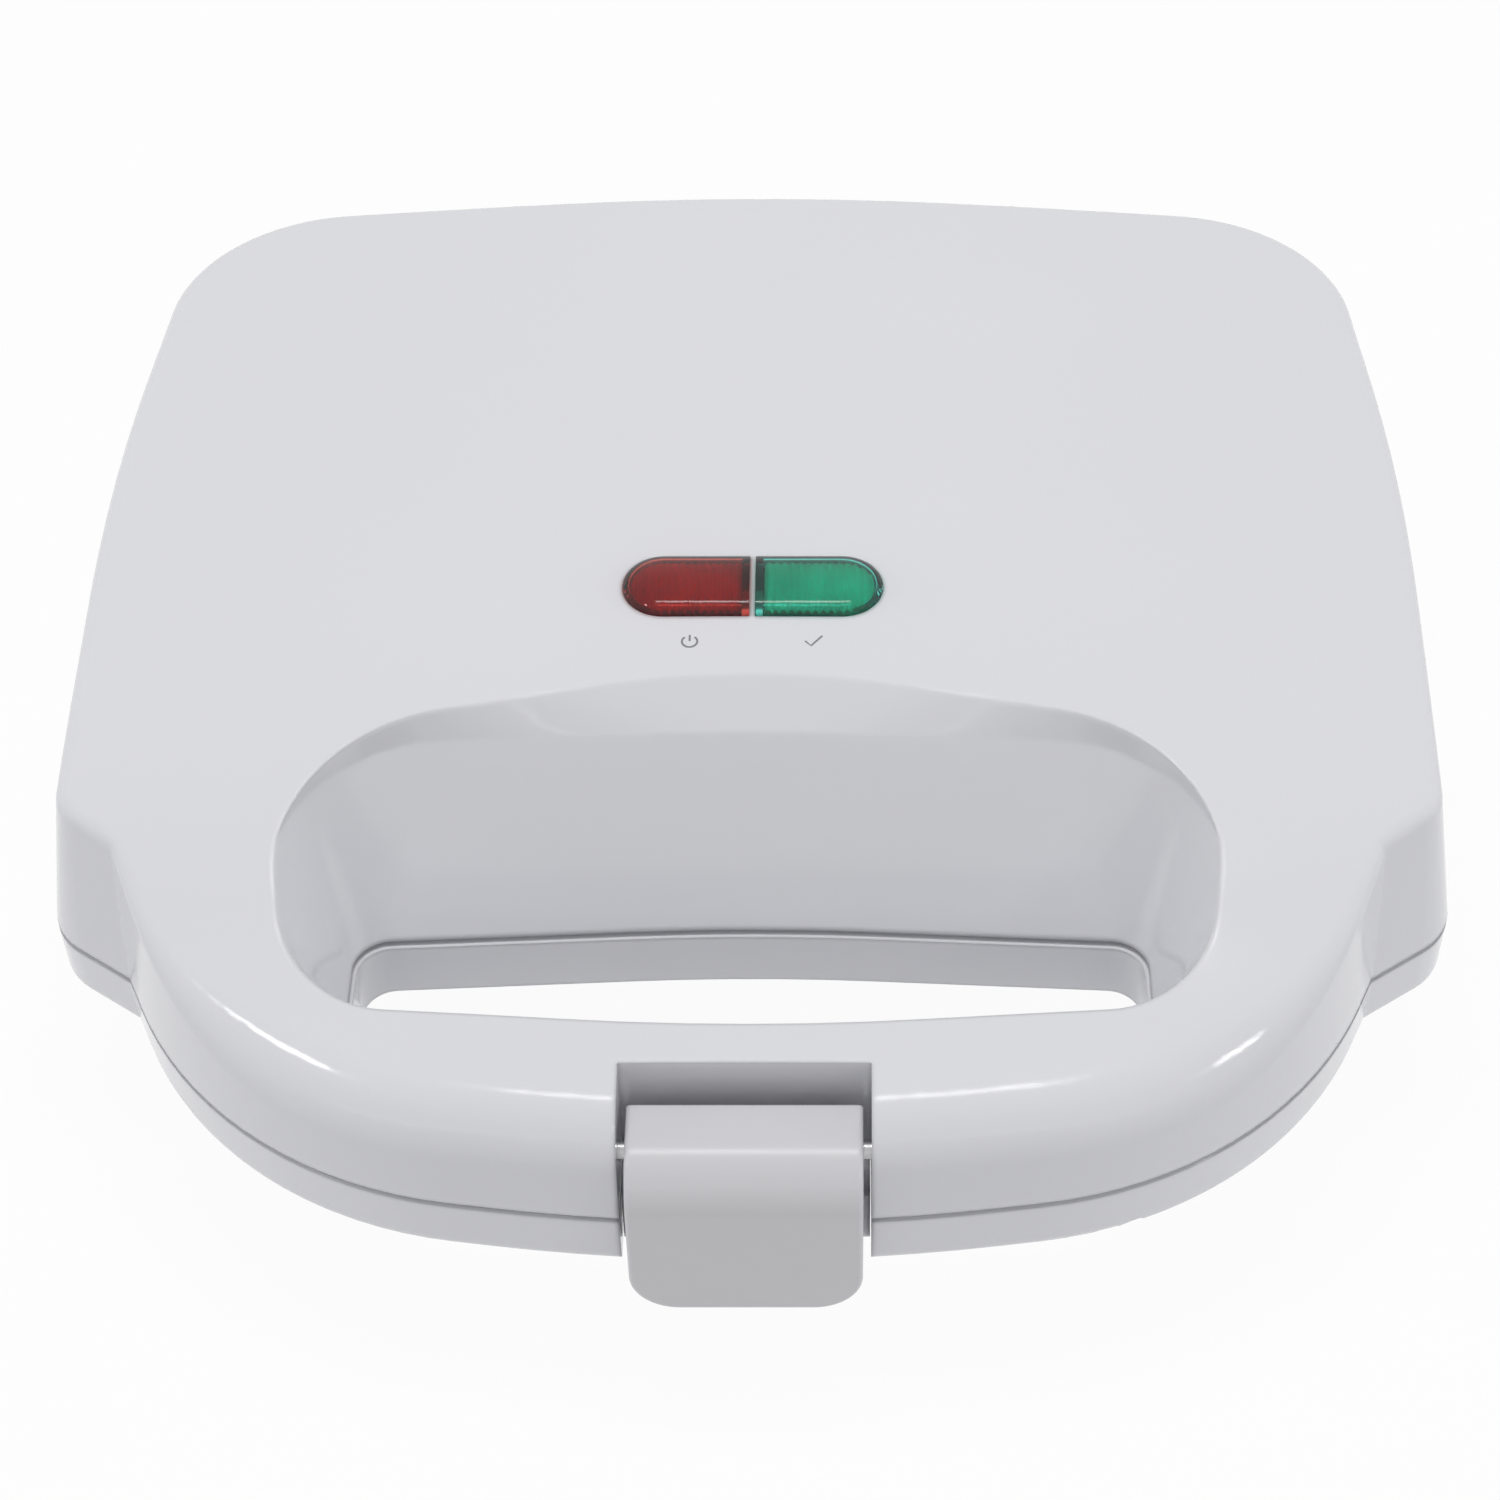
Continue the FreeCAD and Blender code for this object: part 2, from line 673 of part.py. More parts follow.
def pan_head(place, direction, length):
    """A pan-head screw whose head stands on place and whose shank follows direction."""
    head_top = place - direction * SCREW_HEAD_T
    head = rod(SCREW_HEAD_R, place, head_top)
    outer = [e for e in head.Edges if e.BoundBox.Center.sub(head_top).Length < 1e-6]
    head = head.makeFillet(SCREW_HEAD_T / 2, outer)
    shank = rod(SCREW_R - PRESS_FIT, place, place + direction * length)
    screw = head.fuse(shank)
    reach = SCREW_HEAD_R - SCREW_HEAD_T / 2
    for along in (Vector(1, 0, 0), Vector(0, 1, 0)):
        across = Vector(along.y, along.x, 0)
        half = along * reach + across * (DRIVE_SLOT / 2) + Z_UP * (SCREW_HEAD_T / 2)
        screw = screw.cut(box(head_top - half, head_top + half))
    return screw


def lid_screws():
    sink = spot(0, 0, FRAME_FACE + SCREW_HEAD_T / 2)
    return [pan_head(place + sink, Z_UP, SCREW_LENGTH) for place in screw_places()]


def pocket_triangles():
    """The four triangular pockets: each toast is cut corner to corner."""
    half_x = PLATE_WIDTH / 2
    half_y = PLATE_DEPTH / 2 - POCKET_BORDER
    inner = POCKET_MIDDLE / 2
    outer = half_x - POCKET_BORDER
    triangles = []
    for side in (-1, 1):
        corners = [
            spot(side * inner, PLATE_Y - half_y),
            spot(side * outer, PLATE_Y - half_y),
            spot(side * outer, PLATE_Y + half_y),
            spot(side * inner, PLATE_Y + half_y),
        ]
        if side < 0:
            corners = [corners[1], corners[0], corners[3], corners[2]]
        first, second = (0, 2) if side > 0 else (1, 3)
        lower = [corners[i] for i in range(4) if i != second]
        upper = [corners[i] for i in range(4) if i != first]
        triangles.append(pulled_from_ridge(lower, corners[first]))
        triangles.append(pulled_from_ridge(upper, corners[second]))
    return triangles


def pulled_from_ridge(triangle, square_corner):
    """Shrink a triangle towards its square corner to leave the ridge between two pockets."""
    others = [p for p in triangle if p.sub(square_corner).Length > 1e-6]
    ridge = others[1] - others[0]
    to_corner = square_corner - others[0]
    height = to_corner.cross(ridge).Length / ridge.Length
    keep = 1 - POCKET_RIDGE / 2 / height
    return [square_corner + (p - square_corner) * keep for p in triangle]


def pocket_block(triangle, grow, z_open, z_floor):
    radii = [POCKET_CORNER_R + grow] * 3
    wide = rounded_wire(inset(triangle, -grow), radii, z_open)
    narrow_radii = [r - POCKET_TAPER / 2 for r in radii]
    narrow = rounded_wire(inset(triangle, POCKET_TAPER - grow), narrow_radii, z_floor)
    return Part.makeLoft([wide, narrow], True, True)


def post_places():
    near = PLATE_FRONT + POST_FROM_EDGE
    far = PLATE_FRONT + PLATE_DEPTH - POST_FROM_EDGE
    clamped = [spot(-POST_SIDE_X, PLATE_Y), spot(POST_SIDE_X, PLATE_Y)]
    return clamped, [spot(0, near), spot(0, far)]


def plate():
    """A cast plate: flat rim, four pockets and the posts on its back."""
    points, radii = plate_outline(0)
    rim = straight(points, radii, PLATE_FACE, PLATE_FACE + PLATE_RIM)
    triangles = pocket_triangles()
    solid = union([rim] + [pocket_block(t, POCKET_SHELL, PLATE_FACE, POCKET_BACK) for t in triangles])
    clamped, free = post_places()
    for place in clamped:
        solid = solid.fuse(rod(POST_R, place + spot(0, 0, POCKET_BACK - WALL), place + spot(0, 0, CLAMP_Z)))
    for place in free:
        solid = solid.fuse(rod(POST_R, place + spot(0, 0, PLATE_FACE + WALL), place + spot(0, 0, PAN_Z)))
    for triangle in triangles:
        solid = solid.cut(pocket_block(triangle, 0, PLATE_FACE, POCKET_BACK - POCKET_SHELL))
    for place in clamped + free:
        tip = PAN_Z + SHEET - SHORT_SCREW_LENGTH
        solid = solid.cut(rod(SCREW_R, place + spot(0, 0, tip), place + spot(0, 0, PAN_Z)))
    return solid.removeSplitter()


def pipe(points, radius, bend):
    """A round bar along straight runs joined by tangent bends."""
    edges = []
    last = points[0]
    for i in range(1, len(points) - 1):
        back = (points[i - 1] - points[i]).normalize()
        ahead = (points[i + 1] - points[i]).normalize()
        half = back.getAngle(ahead) / 2
        reach = bend / math.tan(half)
        inward = (back + ahead).normalize()
        middle = points[i] + inward * (bend / math.sin(half) - bend)
        start = points[i] + back * reach
        end = points[i] + ahead * reach
        edges.append(Part.LineSegment(last, start).toShape())
        edges.append(Part.Arc(start, middle, end).toShape())
        last = end
    edges.append(Part.LineSegment(last, points[-1]).toShape())
    circle = Part.makeCircle(radius, points[0], points[1] - points[0])
    return Part.Wire(edges).makePipeShell([Part.Wire([circle])], True, False)


def heater():
    """A sheathed element bent into a U, with a cold pin at each end."""
    near = PLATE_Y - HEATER_RUN_HALF
    far = PLATE_Y + HEATER_RUN_HALF
    start = spot(HEATER_END_X, near, HEATER_Z)
    turn_start = spot(HEATER_BEND_X, near, HEATER_Z)
    turn_middle = spot(HEATER_BEND_X + HEATER_RUN_HALF, PLATE_Y, HEATER_Z)
    turn_end = spot(HEATER_BEND_X, far, HEATER_Z)
    end = spot(HEATER_END_X, far, HEATER_Z)
    path = Part.Wire([
        Part.LineSegment(start, turn_start).toShape(),
        Part.Arc(turn_start, turn_middle, turn_end).toShape(),
        Part.LineSegment(turn_end, end).toShape(),
    ])
    circle = Part.makeCircle(HEATER_R, start, Vector(1, 0, 0))
    tube = path.makePipeShell([Part.Wire([circle])], True, False)
    for place in (start, end):
        tube = tube.fuse(rod(TERMINAL_R, place, place - spot(TERMINAL_LENGTH, 0)))
    return tube


def heater_clamps():
    clamped, _ = post_places()
    half_y = HEATER_RUN_HALF + HEATER_R + CLAMP_OVERHANG
    clamps = []
    for place in clamped:
        low = place + spot(-CLAMP_WIDTH / 2, -half_y, CLAMP_Z)
        high = place + spot(CLAMP_WIDTH / 2, half_y, CLAMP_Z + CLAMP_THICK)
        hole = rod(SCREW_R + SCREW_FIT, place, place + spot(0, 0, PAN_Z + WALL))
        clamps.append(box(low, high).cut(hole))
    return clamps


def pan_half(grow, z_low, z_high):
    """One side of the reflector's sheet: sloped walls and a flat top."""
    points, radii = plate_outline(PAN_FIT + grow)
    slope = PAN_SLOPE_IN / (PAN_Z - FRAME_BACK)
    return tapered(points, [r + PAN_SLOPE_IN for r in radii], z_low, z_high, slope)


def reflector():
    """A thin pan over the element, with a flange and four ears on the frame."""
    outside = pan_half(SHEET, FRAME_BACK, PAN_Z + SHEET)
    inside = pan_half(0, FRAME_BACK, PAN_Z)
    points, radii = plate_outline(PAN_FIT + PAN_FLANGE)
    flange = straight(points, [r + PAN_SLOPE_IN for r in radii], FRAME_BACK, FRAME_BACK + SHEET)
    parts = [outside, flange]
    holes = []
    for place in ear_places():
        half = spot(EAR_WIDTH / 2, EAR_LENGTH / 2)
        ear = box(place - half + spot(0, 0, FRAME_BACK), place + half + spot(0, 0, FRAME_BACK + SHEET))
        parts.append(ear)
        holes.append(rod(SCREW_R + SCREW_FIT, place, place + spot(0, 0, FRAME_BACK + WALL)))
    clamped, free = post_places()
    for place in clamped + free:
        holes.append(rod(SCREW_R + SCREW_FIT, place, place + spot(0, 0, PAN_Z + WALL)))
    for place in wire_holes():
        holes.append(rod(WIRE_HOLE_R, place, place + spot(0, 0, PAN_Z + WALL)))
    pan = union(parts).cut(inside)
    for hole in holes:
        pan = pan.cut(hole)
    return pan.removeSplitter()


def wire_holes():
    x = HEATER_END_X - TERMINAL_LENGTH + WIRE_R
    return [spot(x, PLATE_Y - HEATER_RUN_HALF), spot(x, PLATE_Y + HEATER_RUN_HALF)]


def plate_screws():
    clamped, free = post_places()
    top = spot(0, 0, PAN_Z + SHEET)
    return [pan_head(place + top, -Z_UP, SHORT_SCREW_LENGTH) for place in clamped + free]


def reflector_screws():
    top = spot(0, 0, FRAME_BACK + SHEET)
    length = FRAME_THICK + SHEET
    return [pan_head(place + top, -Z_UP, length) for place in ear_places()]


def lens(side):
    """A domed window half with a flange that bears on the lid from inside."""
    surface = top_height(0, LENS_Y)
    top = surface + LENS_RISE
    plug = lens_half(side, -LENS_FIT, surface - WALL - LENS_FLANGE_T, top)
    outer = []
    for edge in plug.Edges:
        middle = edge.valueAt((edge.FirstParameter + edge.LastParameter) / 2)
        if abs(middle.z - top) < 1e-6 and abs(middle.x) > LENS_BAR:
            outer.append(edge)
    plug = plug.makeFillet(LENS_ROUND, outer)
    flange = lens_half(side, LENS_FLANGE, surface - WALL - LENS_FLANGE_T, surface)
    return plug.fuse(flange.cut(above_crown(WALL + PRESS_FIT)))


def lamp(side):
    """A small neon tube with rounded tip, lying along X under its lens."""
    z = top_height(0, LENS_Y) - WALL - LAMP_DROP
    start = spot(side * (LAMP_X - LAMP_LENGTH / 2), LENS_Y, z)
    end = spot(side * (LAMP_X + LAMP_LENGTH / 2), LENS_Y, z)
    tube = rod(LAMP_R, start, end)
    return tube.makeFillet(LAMP_R * 0.6, [tube.Edges[0], tube.Edges[2]])


def lamp_holder():
    """A trough under the lamps that hangs from the lid on two feet."""
    lamp_z = top_height(0, LENS_Y) - WALL - LAMP_DROP
    floor_z = lamp_z - LAMP_R - HOLDER_WALL
    half_x = HOLDER_LENGTH / 2
    half_y = HOLDER_WIDTH / 2
    low = spot(-half_x, LENS_Y - half_y, floor_z)
    trough = box(low, spot(half_x, LENS_Y + half_y, lamp_z + LAMP_R / 2))
    hollow_low = low + spot(HOLDER_WALL, HOLDER_WALL, HOLDER_WALL)
    trough = trough.cut(box(hollow_low, spot(half_x - HOLDER_WALL, LENS_Y + half_y - HOLDER_WALL, ABOVE_ALL)))
    for side in (-1, 1):
        foot = box(spot(half_x - HOLDER_WALL, LENS_Y - half_y, floor_z),
                   spot(half_x + HOLDER_FOOT, LENS_Y + half_y, CROWN_HEIGHT))
        foot = foot.cut(above_crown(WALL))
        if side < 0:
            foot = foot.mirror(spot(0, 0), Vector(1, 0, 0))
        trough = trough.fuse(foot)
    flanges = [lens_half(s, LENS_FLANGE + LENS_FIT, 0, ABOVE_ALL) for s in (-1, 1)]
    level = top_height(0, LENS_Y) - WALL - 2 * LENS_FLANGE_T
    flanges_zone = union(flanges).common(slab(level, ABOVE_ALL))
    return trough.cut(flanges_zone)


def latch_clip():
    """The front clip: a rounded cap over the handle, two ears on its pin and a hook."""
    half = LATCH_WIDTH / 2
    back = LATCH_FRONT + LATCH_TOP_DEPTH
    outer = box(spot(-half, LATCH_FRONT, -LATCH_BOTTOM), spot(half, back, LATCH_TOP))
    nose = [e for e in outer.Edges if edge_near(e, spot(0, LATCH_FRONT, LATCH_TOP))]
    outer = outer.makeFillet(LATCH_ROUND, nose)
    corners = [e for e in outer.Edges
               if abs(abs(e.CenterOfMass.x) - half) < 1e-6
               and abs(e.CenterOfMass.z + LATCH_BOTTOM) < 1e-6]
    outer = outer.makeFillet(LATCH_CORNER_R, corners)
    rims = [e for e in outer.Edges if abs(abs(e.CenterOfMass.x) - half) < 1e-6 and is_front_rim(e)]
    outer = outer.makeFillet(LATCH_EDGE_R, rims)
    inner_front = LATCH_FRONT + LATCH_THICK
    inner = box(spot(-half + EAR_THICK, inner_front, -LATCH_BOTTOM - WALL),
                spot(half - EAR_THICK, back + WALL, LATCH_TOP - LATCH_THICK))
    nose = [e for e in inner.Edges if edge_near(e, spot(0, inner_front, LATCH_TOP - LATCH_THICK))]
    inner = inner.makeFillet(LATCH_ROUND - LATCH_THICK, nose)
    under_ears = box(spot(-half - WALL, inner_front, -LATCH_BOTTOM - WALL),
                     spot(half + WALL, back + WALL, PIN_HEIGHT - EAR_BELOW_PIN))
    clip = outer.cut(inner).cut(under_ears)
    hook_top = -BAND_HEIGHT - HOOK_GAP
    hook_low = spot(-HOOK_HALF, inner_front - PRESS_FIT, hook_top - HOOK_THICK)
    hook = box(hook_low, spot(HOOK_HALF, catch_face() - HOOK_CLEAR, hook_top))
    clip = clip.fuse(hook)
    place = pin_place()
    bore = rod(PIN_R + RUN_FIT, place - spot(LATCH_WIDTH, 0), place + spot(LATCH_WIDTH, 0))
    return clip.cut(bore).removeSplitter()


def is_front_rim(edge):
    return abs(edge.CenterOfMass.y - LATCH_FRONT) < 1e-6


def edge_near(edge, place):
    return edge.CenterOfMass.sub(place).Length < 1e-3


def catch_face():
    """Front of the lower handle inside its notch, which the hook passes."""
    return HANDLE_FRONT + CATCH_BACK


def base_body_block(wall):
    points, radii = body_outline()
    slope = math.tan(math.radians(BAND_DRAFT))
    return tapered(points, radii, -EDGE, -BAND_HEIGHT, slope, wall)


def base_handle_block(wall, floor):
    points, radii = handle_outline()
    slope = math.tan(math.radians(BAND_DRAFT))
    return tapered(points, radii, -EDGE, -BAND_HEIGHT + floor, slope, wall)


def tray_outline():
    front = BODY_FRONT + HOLE_REAR - BASE_LIP
    facet = TRAY_FRONT_FACET
    side_front = FRONT_HALF - TRAY_SETBACK
    points = [
        spot(TRAY_FRONT_HALF, front),
        spot(side_front, front + facet),
        spot(SIDE_HALF - TRAY_SETBACK, BODY_FRONT + SIDE_WIDEST),
        spot(REAR_HALF - TRAY_SETBACK, REAR_WALL - REAR_BOW - TRAY_SETBACK),
        spot(0, REAR_WALL - TRAY_SETBACK),
    ]
    half_radii = [TRAY_CORNER_R, TRAY_CORNER_R, SIDE_R, REAR_CORNER_R - TRAY_SETBACK]
    return both_sides(points), half_radii + [REAR_R] + half_radii[::-1]


def tray_bottom_outline():
    """The tray's floor: each side of its top outline moved in by its own slope."""
    top, _ = tray_outline()
    facet = (top[1] - top[0]).normalize()
    corner_shift = spot(-TRAY_SIDE_SLOPE_IN, TRAY_FRONT_SLOPE_IN)
    facet_in = corner_shift.dot(spot(-facet.y, facet.x)) + TRAY_CORNER_CUT
    half = [facet_in, TRAY_SIDE_SLOPE_IN, TRAY_SIDE_SLOPE_IN, TRAY_REAR_SLOPE_IN]
    points = inset_each(top, half + half[::-1] + [TRAY_FRONT_SLOPE_IN])
    half_radii = [TRAY_CORNER_R, BOTTOM_CORNER_R, BOTTOM_SIDE_R, BOTTOM_CORNER_R]
    return points, half_radii + [REAR_R] + half_radii[::-1]


def tray(wall, floor):
    """The sloping lower part of the base."""
    top_points, top_radii = tray_outline()
    low_points, low_radii = tray_bottom_outline()
    start = rounded_wire(inset(top_points, wall), smaller(top_radii, wall), -TRAY_START)
    end = rounded_wire(inset(low_points, wall), smaller(low_radii, wall), -BASE_DEPTH + floor)
    return Part.makeLoft([start, end], True, True)


def base_hole(grow):
    points = inset(hole_outline(), BASE_LIP - grow)
    return straight(points, hole_radii(HOLE_REAR_CORNER_R + grow), -ABOVE_ALL, PARTING_GAP)


def low_edges(block, level):
    return [e for e in block.Edges if abs(e.BoundBox.ZMin - level) < 1e-6 and e.BoundBox.ZLength < 1e-6]


def base_solid():
    body = base_body_block(0)
    body = body.makeFillet(BAND_EDGE_R, low_edges(body, -BAND_HEIGHT))
    handle = base_handle_block(0, 0)
    handle = handle.makeFillet(BAND_EDGE_R, low_edges(handle, -BAND_HEIGHT))
    lower = tray(0, 0)
    lower = lower.makeFillet(BOTTOM_EDGE_R, low_edges(lower, -BASE_DEPTH))
    return body.fuse(handle).cut(base_hole(0)).fuse(lower)


def base_cavity(fit):
    body = base_body_block(WALL + fit).cut(base_hole(WALL + fit))
    body = body.common(slab(-TRAY_START, ABOVE_ALL))
    arms = base_handle_block(LOWER_HANDLE_WALL + fit, WALL + fit).cut(base_hole(LOWER_HANDLE_WALL + fit))
    bridge_half = notch_half() + WALL + fit
    behind = BODY_FRONT - HOLE_FRONT + HOLE_FRONT_BOW
    arms = arms.cut(notch(bridge_half, behind, -ABOVE_ALL, ABOVE_ALL))
    return body.fuse(arms).fuse(tray(math.sqrt(2) * WALL + fit, WALL + fit))


def base_knuckles(side):
    shapes = []
    inner = LID_KNUCKLE / 2 + KNUCKLE_GAP
    for direction in (-1, 1):
        near = side * HINGE_X + direction * inner
        far = side * HINGE_X + direction * (inner + BASE_KNUCKLE)
        x_low = min(near, far)
        x_high = max(near, far)
        barrel = rod(BARREL_R, spot(x_low, HINGE_Y, 0), spot(x_high, HINGE_Y, 0))
        web_start = REAR_WALL - REAR_BOW - WALL
        web = box(spot(x_low, web_start, -EDGE - KNUCKLE_WEB), spot(x_high, HINGE_Y, -EDGE))
        shapes.append(barrel.fuse(web))
    return union(shapes)


def inlet_face():
    return REAR_WALL - TRAY_SETBACK


def foot_places():
    points, _ = tray_bottom_outline()
    front = points[0].y + FOOT_INSET
    rear = points[4].y - FOOT_INSET
    x = points[3].x - FOOT_INSET
    return [spot(side * x, y, -BASE_DEPTH) for side in (-1, 1) for y in (front, rear)]


def base_screw_well(place):
    """A boss that carries a frame screw from below, open at the underside."""
    top = place + spot(0, 0, -FRAME_BACK)
    head_seat = place + spot(0, 0, -FRAME_BACK - WALL)
    boss = rod(BOSS_R, place + spot(0, 0, -BASE_DEPTH), top)
    shank = rod(SCREW_R + SCREW_FIT, head_seat, top)
    well = rod(SCREW_HEAD_R + 2 * SCREW_FIT, place + spot(0, 0, -BASE_DEPTH), head_seat)
    return boss, shank.fuse(well)


def base_shell():
    whole = base_solid()
    pad_low = spot(-INLET_PAD_HALF, inlet_face() - TRAY_REAR_SLOPE_IN - WALL, INLET_Z - INLET_PAD_HEIGHT / 2)
    pad_high = spot(INLET_PAD_HALF, inlet_face(), INLET_Z + INLET_PAD_HEIGHT / 2)
    shell = whole.fuse(box(pad_low, pad_high)).cut(base_cavity(0))
    for place in screw_places():
        boss, bore = base_screw_well(place)
        shell = shell.fuse(boss.common(whole)).cut(bore)
    shell = shell.cut(notch(notch_half(), catch_face(), -ABOVE_ALL, ABOVE_ALL))
    for side in (-1, 1):
        shell = shell.fuse(base_knuckles(side).cut(base_cavity(0)))
        shell = shell.cut(hinge_rod(side, HINGE_PIN_R + PRESS_FIT))
    for place in foot_places():
        shell = shell.cut(rod(FOOT_PEG_R + PRESS_FIT, place, place + spot(0, 0, WALL)))
    return shell


def inlet_slot(fit):
    """The room in the rear of the base, open below, that the inlet piece slides into."""
    half = INLET_PAD_HALF + WALL - fit
    top = INLET_Z + INLET_PAD_HEIGHT / 2 - fit
    return box(spot(-half, block_place().y + BLOCK_WIDTH + fit, -ABOVE_ALL), spot(half, REAR_WALL + WALL, top))


def catch_slot(fit):
    """The gap in the front bar of the lower handle that the catch fills."""
    half = notch_half() - fit
    behind = BODY_FRONT - HOLE_FRONT / 2
    return box(spot(-half, LATCH_FRONT - WALL, -ABOVE_ALL), spot(half, behind, ABOVE_ALL))


def base_housing(shell):
    return shell.cut(inlet_slot(0)).cut(catch_slot(0))


def latch_catch(shell):
    """The block behind the notch that the hook of the latch goes under."""
    return shell.common(catch_slot(CATCH_FIT))


def inlet_piece(shell):
    """The slide-in piece of the rear wall that holds the cord bush."""
    sleeve = rod(INLET_SLEEVE_R + PRESS_FIT, spot(0, inlet_face() - PLATE_DEPTH / 4, INLET_Z),
                 spot(0, REAR_WALL + WALL, INLET_Z))
    return shell.common(inlet_slot(INLET_FIT)).cut(sleeve)


def base_frame():
    frame = base_cavity(FRAME_FIT).common(slab(-FRAME_BACK, -FRAME_FACE))
    frame = frame.cut(plate_window(PLATE_FIT))
    for place in screw_places():
        frame = frame.cut(rod(SCREW_R, place + spot(0, 0, -FRAME_BACK), place + spot(0, 0, -FRAME_FACE - EDGE)))
    for place in ear_places():
        frame = frame.cut(rod(SCREW_R, place + spot(0, 0, -FRAME_BACK - WALL), place))
    return frame


def base_screws():
    seat = spot(0, 0, -FRAME_BACK - WALL)
    length = WALL + FRAME_THICK - EDGE
    return [pan_head(place + seat, Z_UP, length) for place in screw_places()]


def feet():
    pads = []
    for place in foot_places():
        pad = rod(FOOT_R, place, place - spot(0, 0, FOOT_HEIGHT))
        pad = pad.makeFillet(FOOT_EDGE_R, low_edges(pad, -BASE_DEPTH - FOOT_HEIGHT))
        pads.append(pad.fuse(rod(FOOT_PEG_R, place, place + spot(0, 0, WALL))))
    return pads


def cord_bush():
    """The flanged bush that lines the cord inlet."""
    face = spot(0, inlet_face(), INLET_Z)
    inner = face - spot(0, TRAY_REAR_SLOPE_IN + WALL + INLET_INSIDE)
    outer = face + spot(0, INLET_FLANGE_T)
    bush = rod(INLET_FLANGE_R, face, outer).fuse(rod(INLET_SLEEVE_R, inner, face))
    return bush.cut(rod(INLET_BORE_R, inner, outer))


def block_place():
    return spot(0, REAR_WALL - BLOCK_FROM_REAR, -BASE_DEPTH + WALL)


def terminal_block():
    """A row of screw terminals on the base floor."""
    centre = block_place()
    half = spot(BLOCK_LENGTH / 2, BLOCK_WIDTH / 2)
    block = box(centre - half, centre + half + spot(0, 0, BLOCK_HEIGHT))
    pitch = BLOCK_LENGTH / BLOCK_POLES
    for i in range(BLOCK_POLES):
        x = (i - (BLOCK_POLES - 1) / 2) * pitch
        top = centre + spot(x, 0, BLOCK_HEIGHT)
        block = block.cut(rod(BLOCK_SCREW_R, top - spot(0, 0, BLOCK_SCREW_DEPTH), top))
    return block


def thermostat():
    """A bimetal disc thermostat clipped to the back of the lower plate, with two tabs."""
    seat = spot(THERMOSTAT_X, PLATE_Y, -POCKET_BACK)
    can = rod(THERMOSTAT_R, seat, seat - spot(0, 0, THERMOSTAT_HEIGHT))
    for side in (-1, 1):
        low = seat + spot(-TERMINAL_R, side * (THERMOSTAT_R - WALL), -THERMOSTAT_HEIGHT)
        high = seat + spot(TERMINAL_R, side * (THERMOSTAT_R + THERMOSTAT_TAB), -THERMOSTAT_HEIGHT + SHEET)
        corner_low = spot(low.x, min(low.y, high.y), low.z)
        corner_high = spot(high.x, max(low.y, high.y), high.z)
        can = can.fuse(box(corner_low, corner_high))
    return can


def thermal_fuse():
    """A sleeved one-shot fuse lying against the back of the lower plate."""
    centre = spot(FUSE_X, PLATE_Y, -POCKET_BACK - FUSE_R)
    body = rod(FUSE_R, centre - spot(0, FUSE_LENGTH / 2), centre + spot(0, FUSE_LENGTH / 2))
    reach = FUSE_LENGTH / 2 + THERMOSTAT_TAB
    lead = rod(SHEET / 2, centre - spot(0, reach), centre + spot(0, reach))
    return body.fuse(lead)


def lid_wires():
    """Leads from the upper element's pins to the lamp holder."""
    near, far = wire_holes()
    level = PAN_Z + SHEET + WIRE_R + WIRE_CLEAR
    x_end = -HOLDER_LENGTH / 2 - HOLDER_FOOT
    wires = []
    for place, shift in ((near, -2 * WIRE_R), (far, 2 * WIRE_R)):
        start = place + spot(0, 0, HEATER_Z + TERMINAL_R)
        elbow = spot(place.x, place.y, level)
        finish = spot(x_end, LENS_Y + shift, level)
        approach = spot(x_end - 4 * WIRE_BEND, LENS_Y + shift, level)
        wires.append(pipe([start, elbow, approach, finish], WIRE_R, WIRE_BEND / 2))
    return wires


def base_wires():
    """Leads from the lower element's pins to the terminal block."""
    near, far = wire_holes()
    level = -PAN_Z - SHEET - WIRE_R - WIRE_CLEAR
    centre = block_place()
    x_end = centre.x - BLOCK_LENGTH / 2
    wires = []
    for place, shift in ((near, -2 * WIRE_R), (far, 2 * WIRE_R)):
        start = place + spot(0, 0, -HEATER_Z - TERMINAL_R)
        elbow = spot(place.x, place.y, level)
        finish = spot(x_end, centre.y + shift, level)
        approach = spot(x_end - 4 * WIRE_BEND, centre.y + shift, level)
        wires.append(pipe([start, elbow, approach, finish], WIRE_R, WIRE_BEND / 2))
    return wires


def save(name, shapes):
    """Lift a node on to its feet and write it."""
    solids = shapes if isinstance(shapes, list) else shapes.Solids
    lift = spot(0, 0, PARTING_HEIGHT)
    placed = [s.translated(lift) for s in solids]
    shape = placed[0] if len(placed) == 1 else Part.makeCompound(placed)
    shape.exportStep("parts/" + name + ".step")
    valid = all(s.isValid() for s in placed)
    volume = sum(s.Volume for s in placed)
    print(f"{name}: {len(placed)} solid(s), valid {valid}, {volume:.0f} mm3")


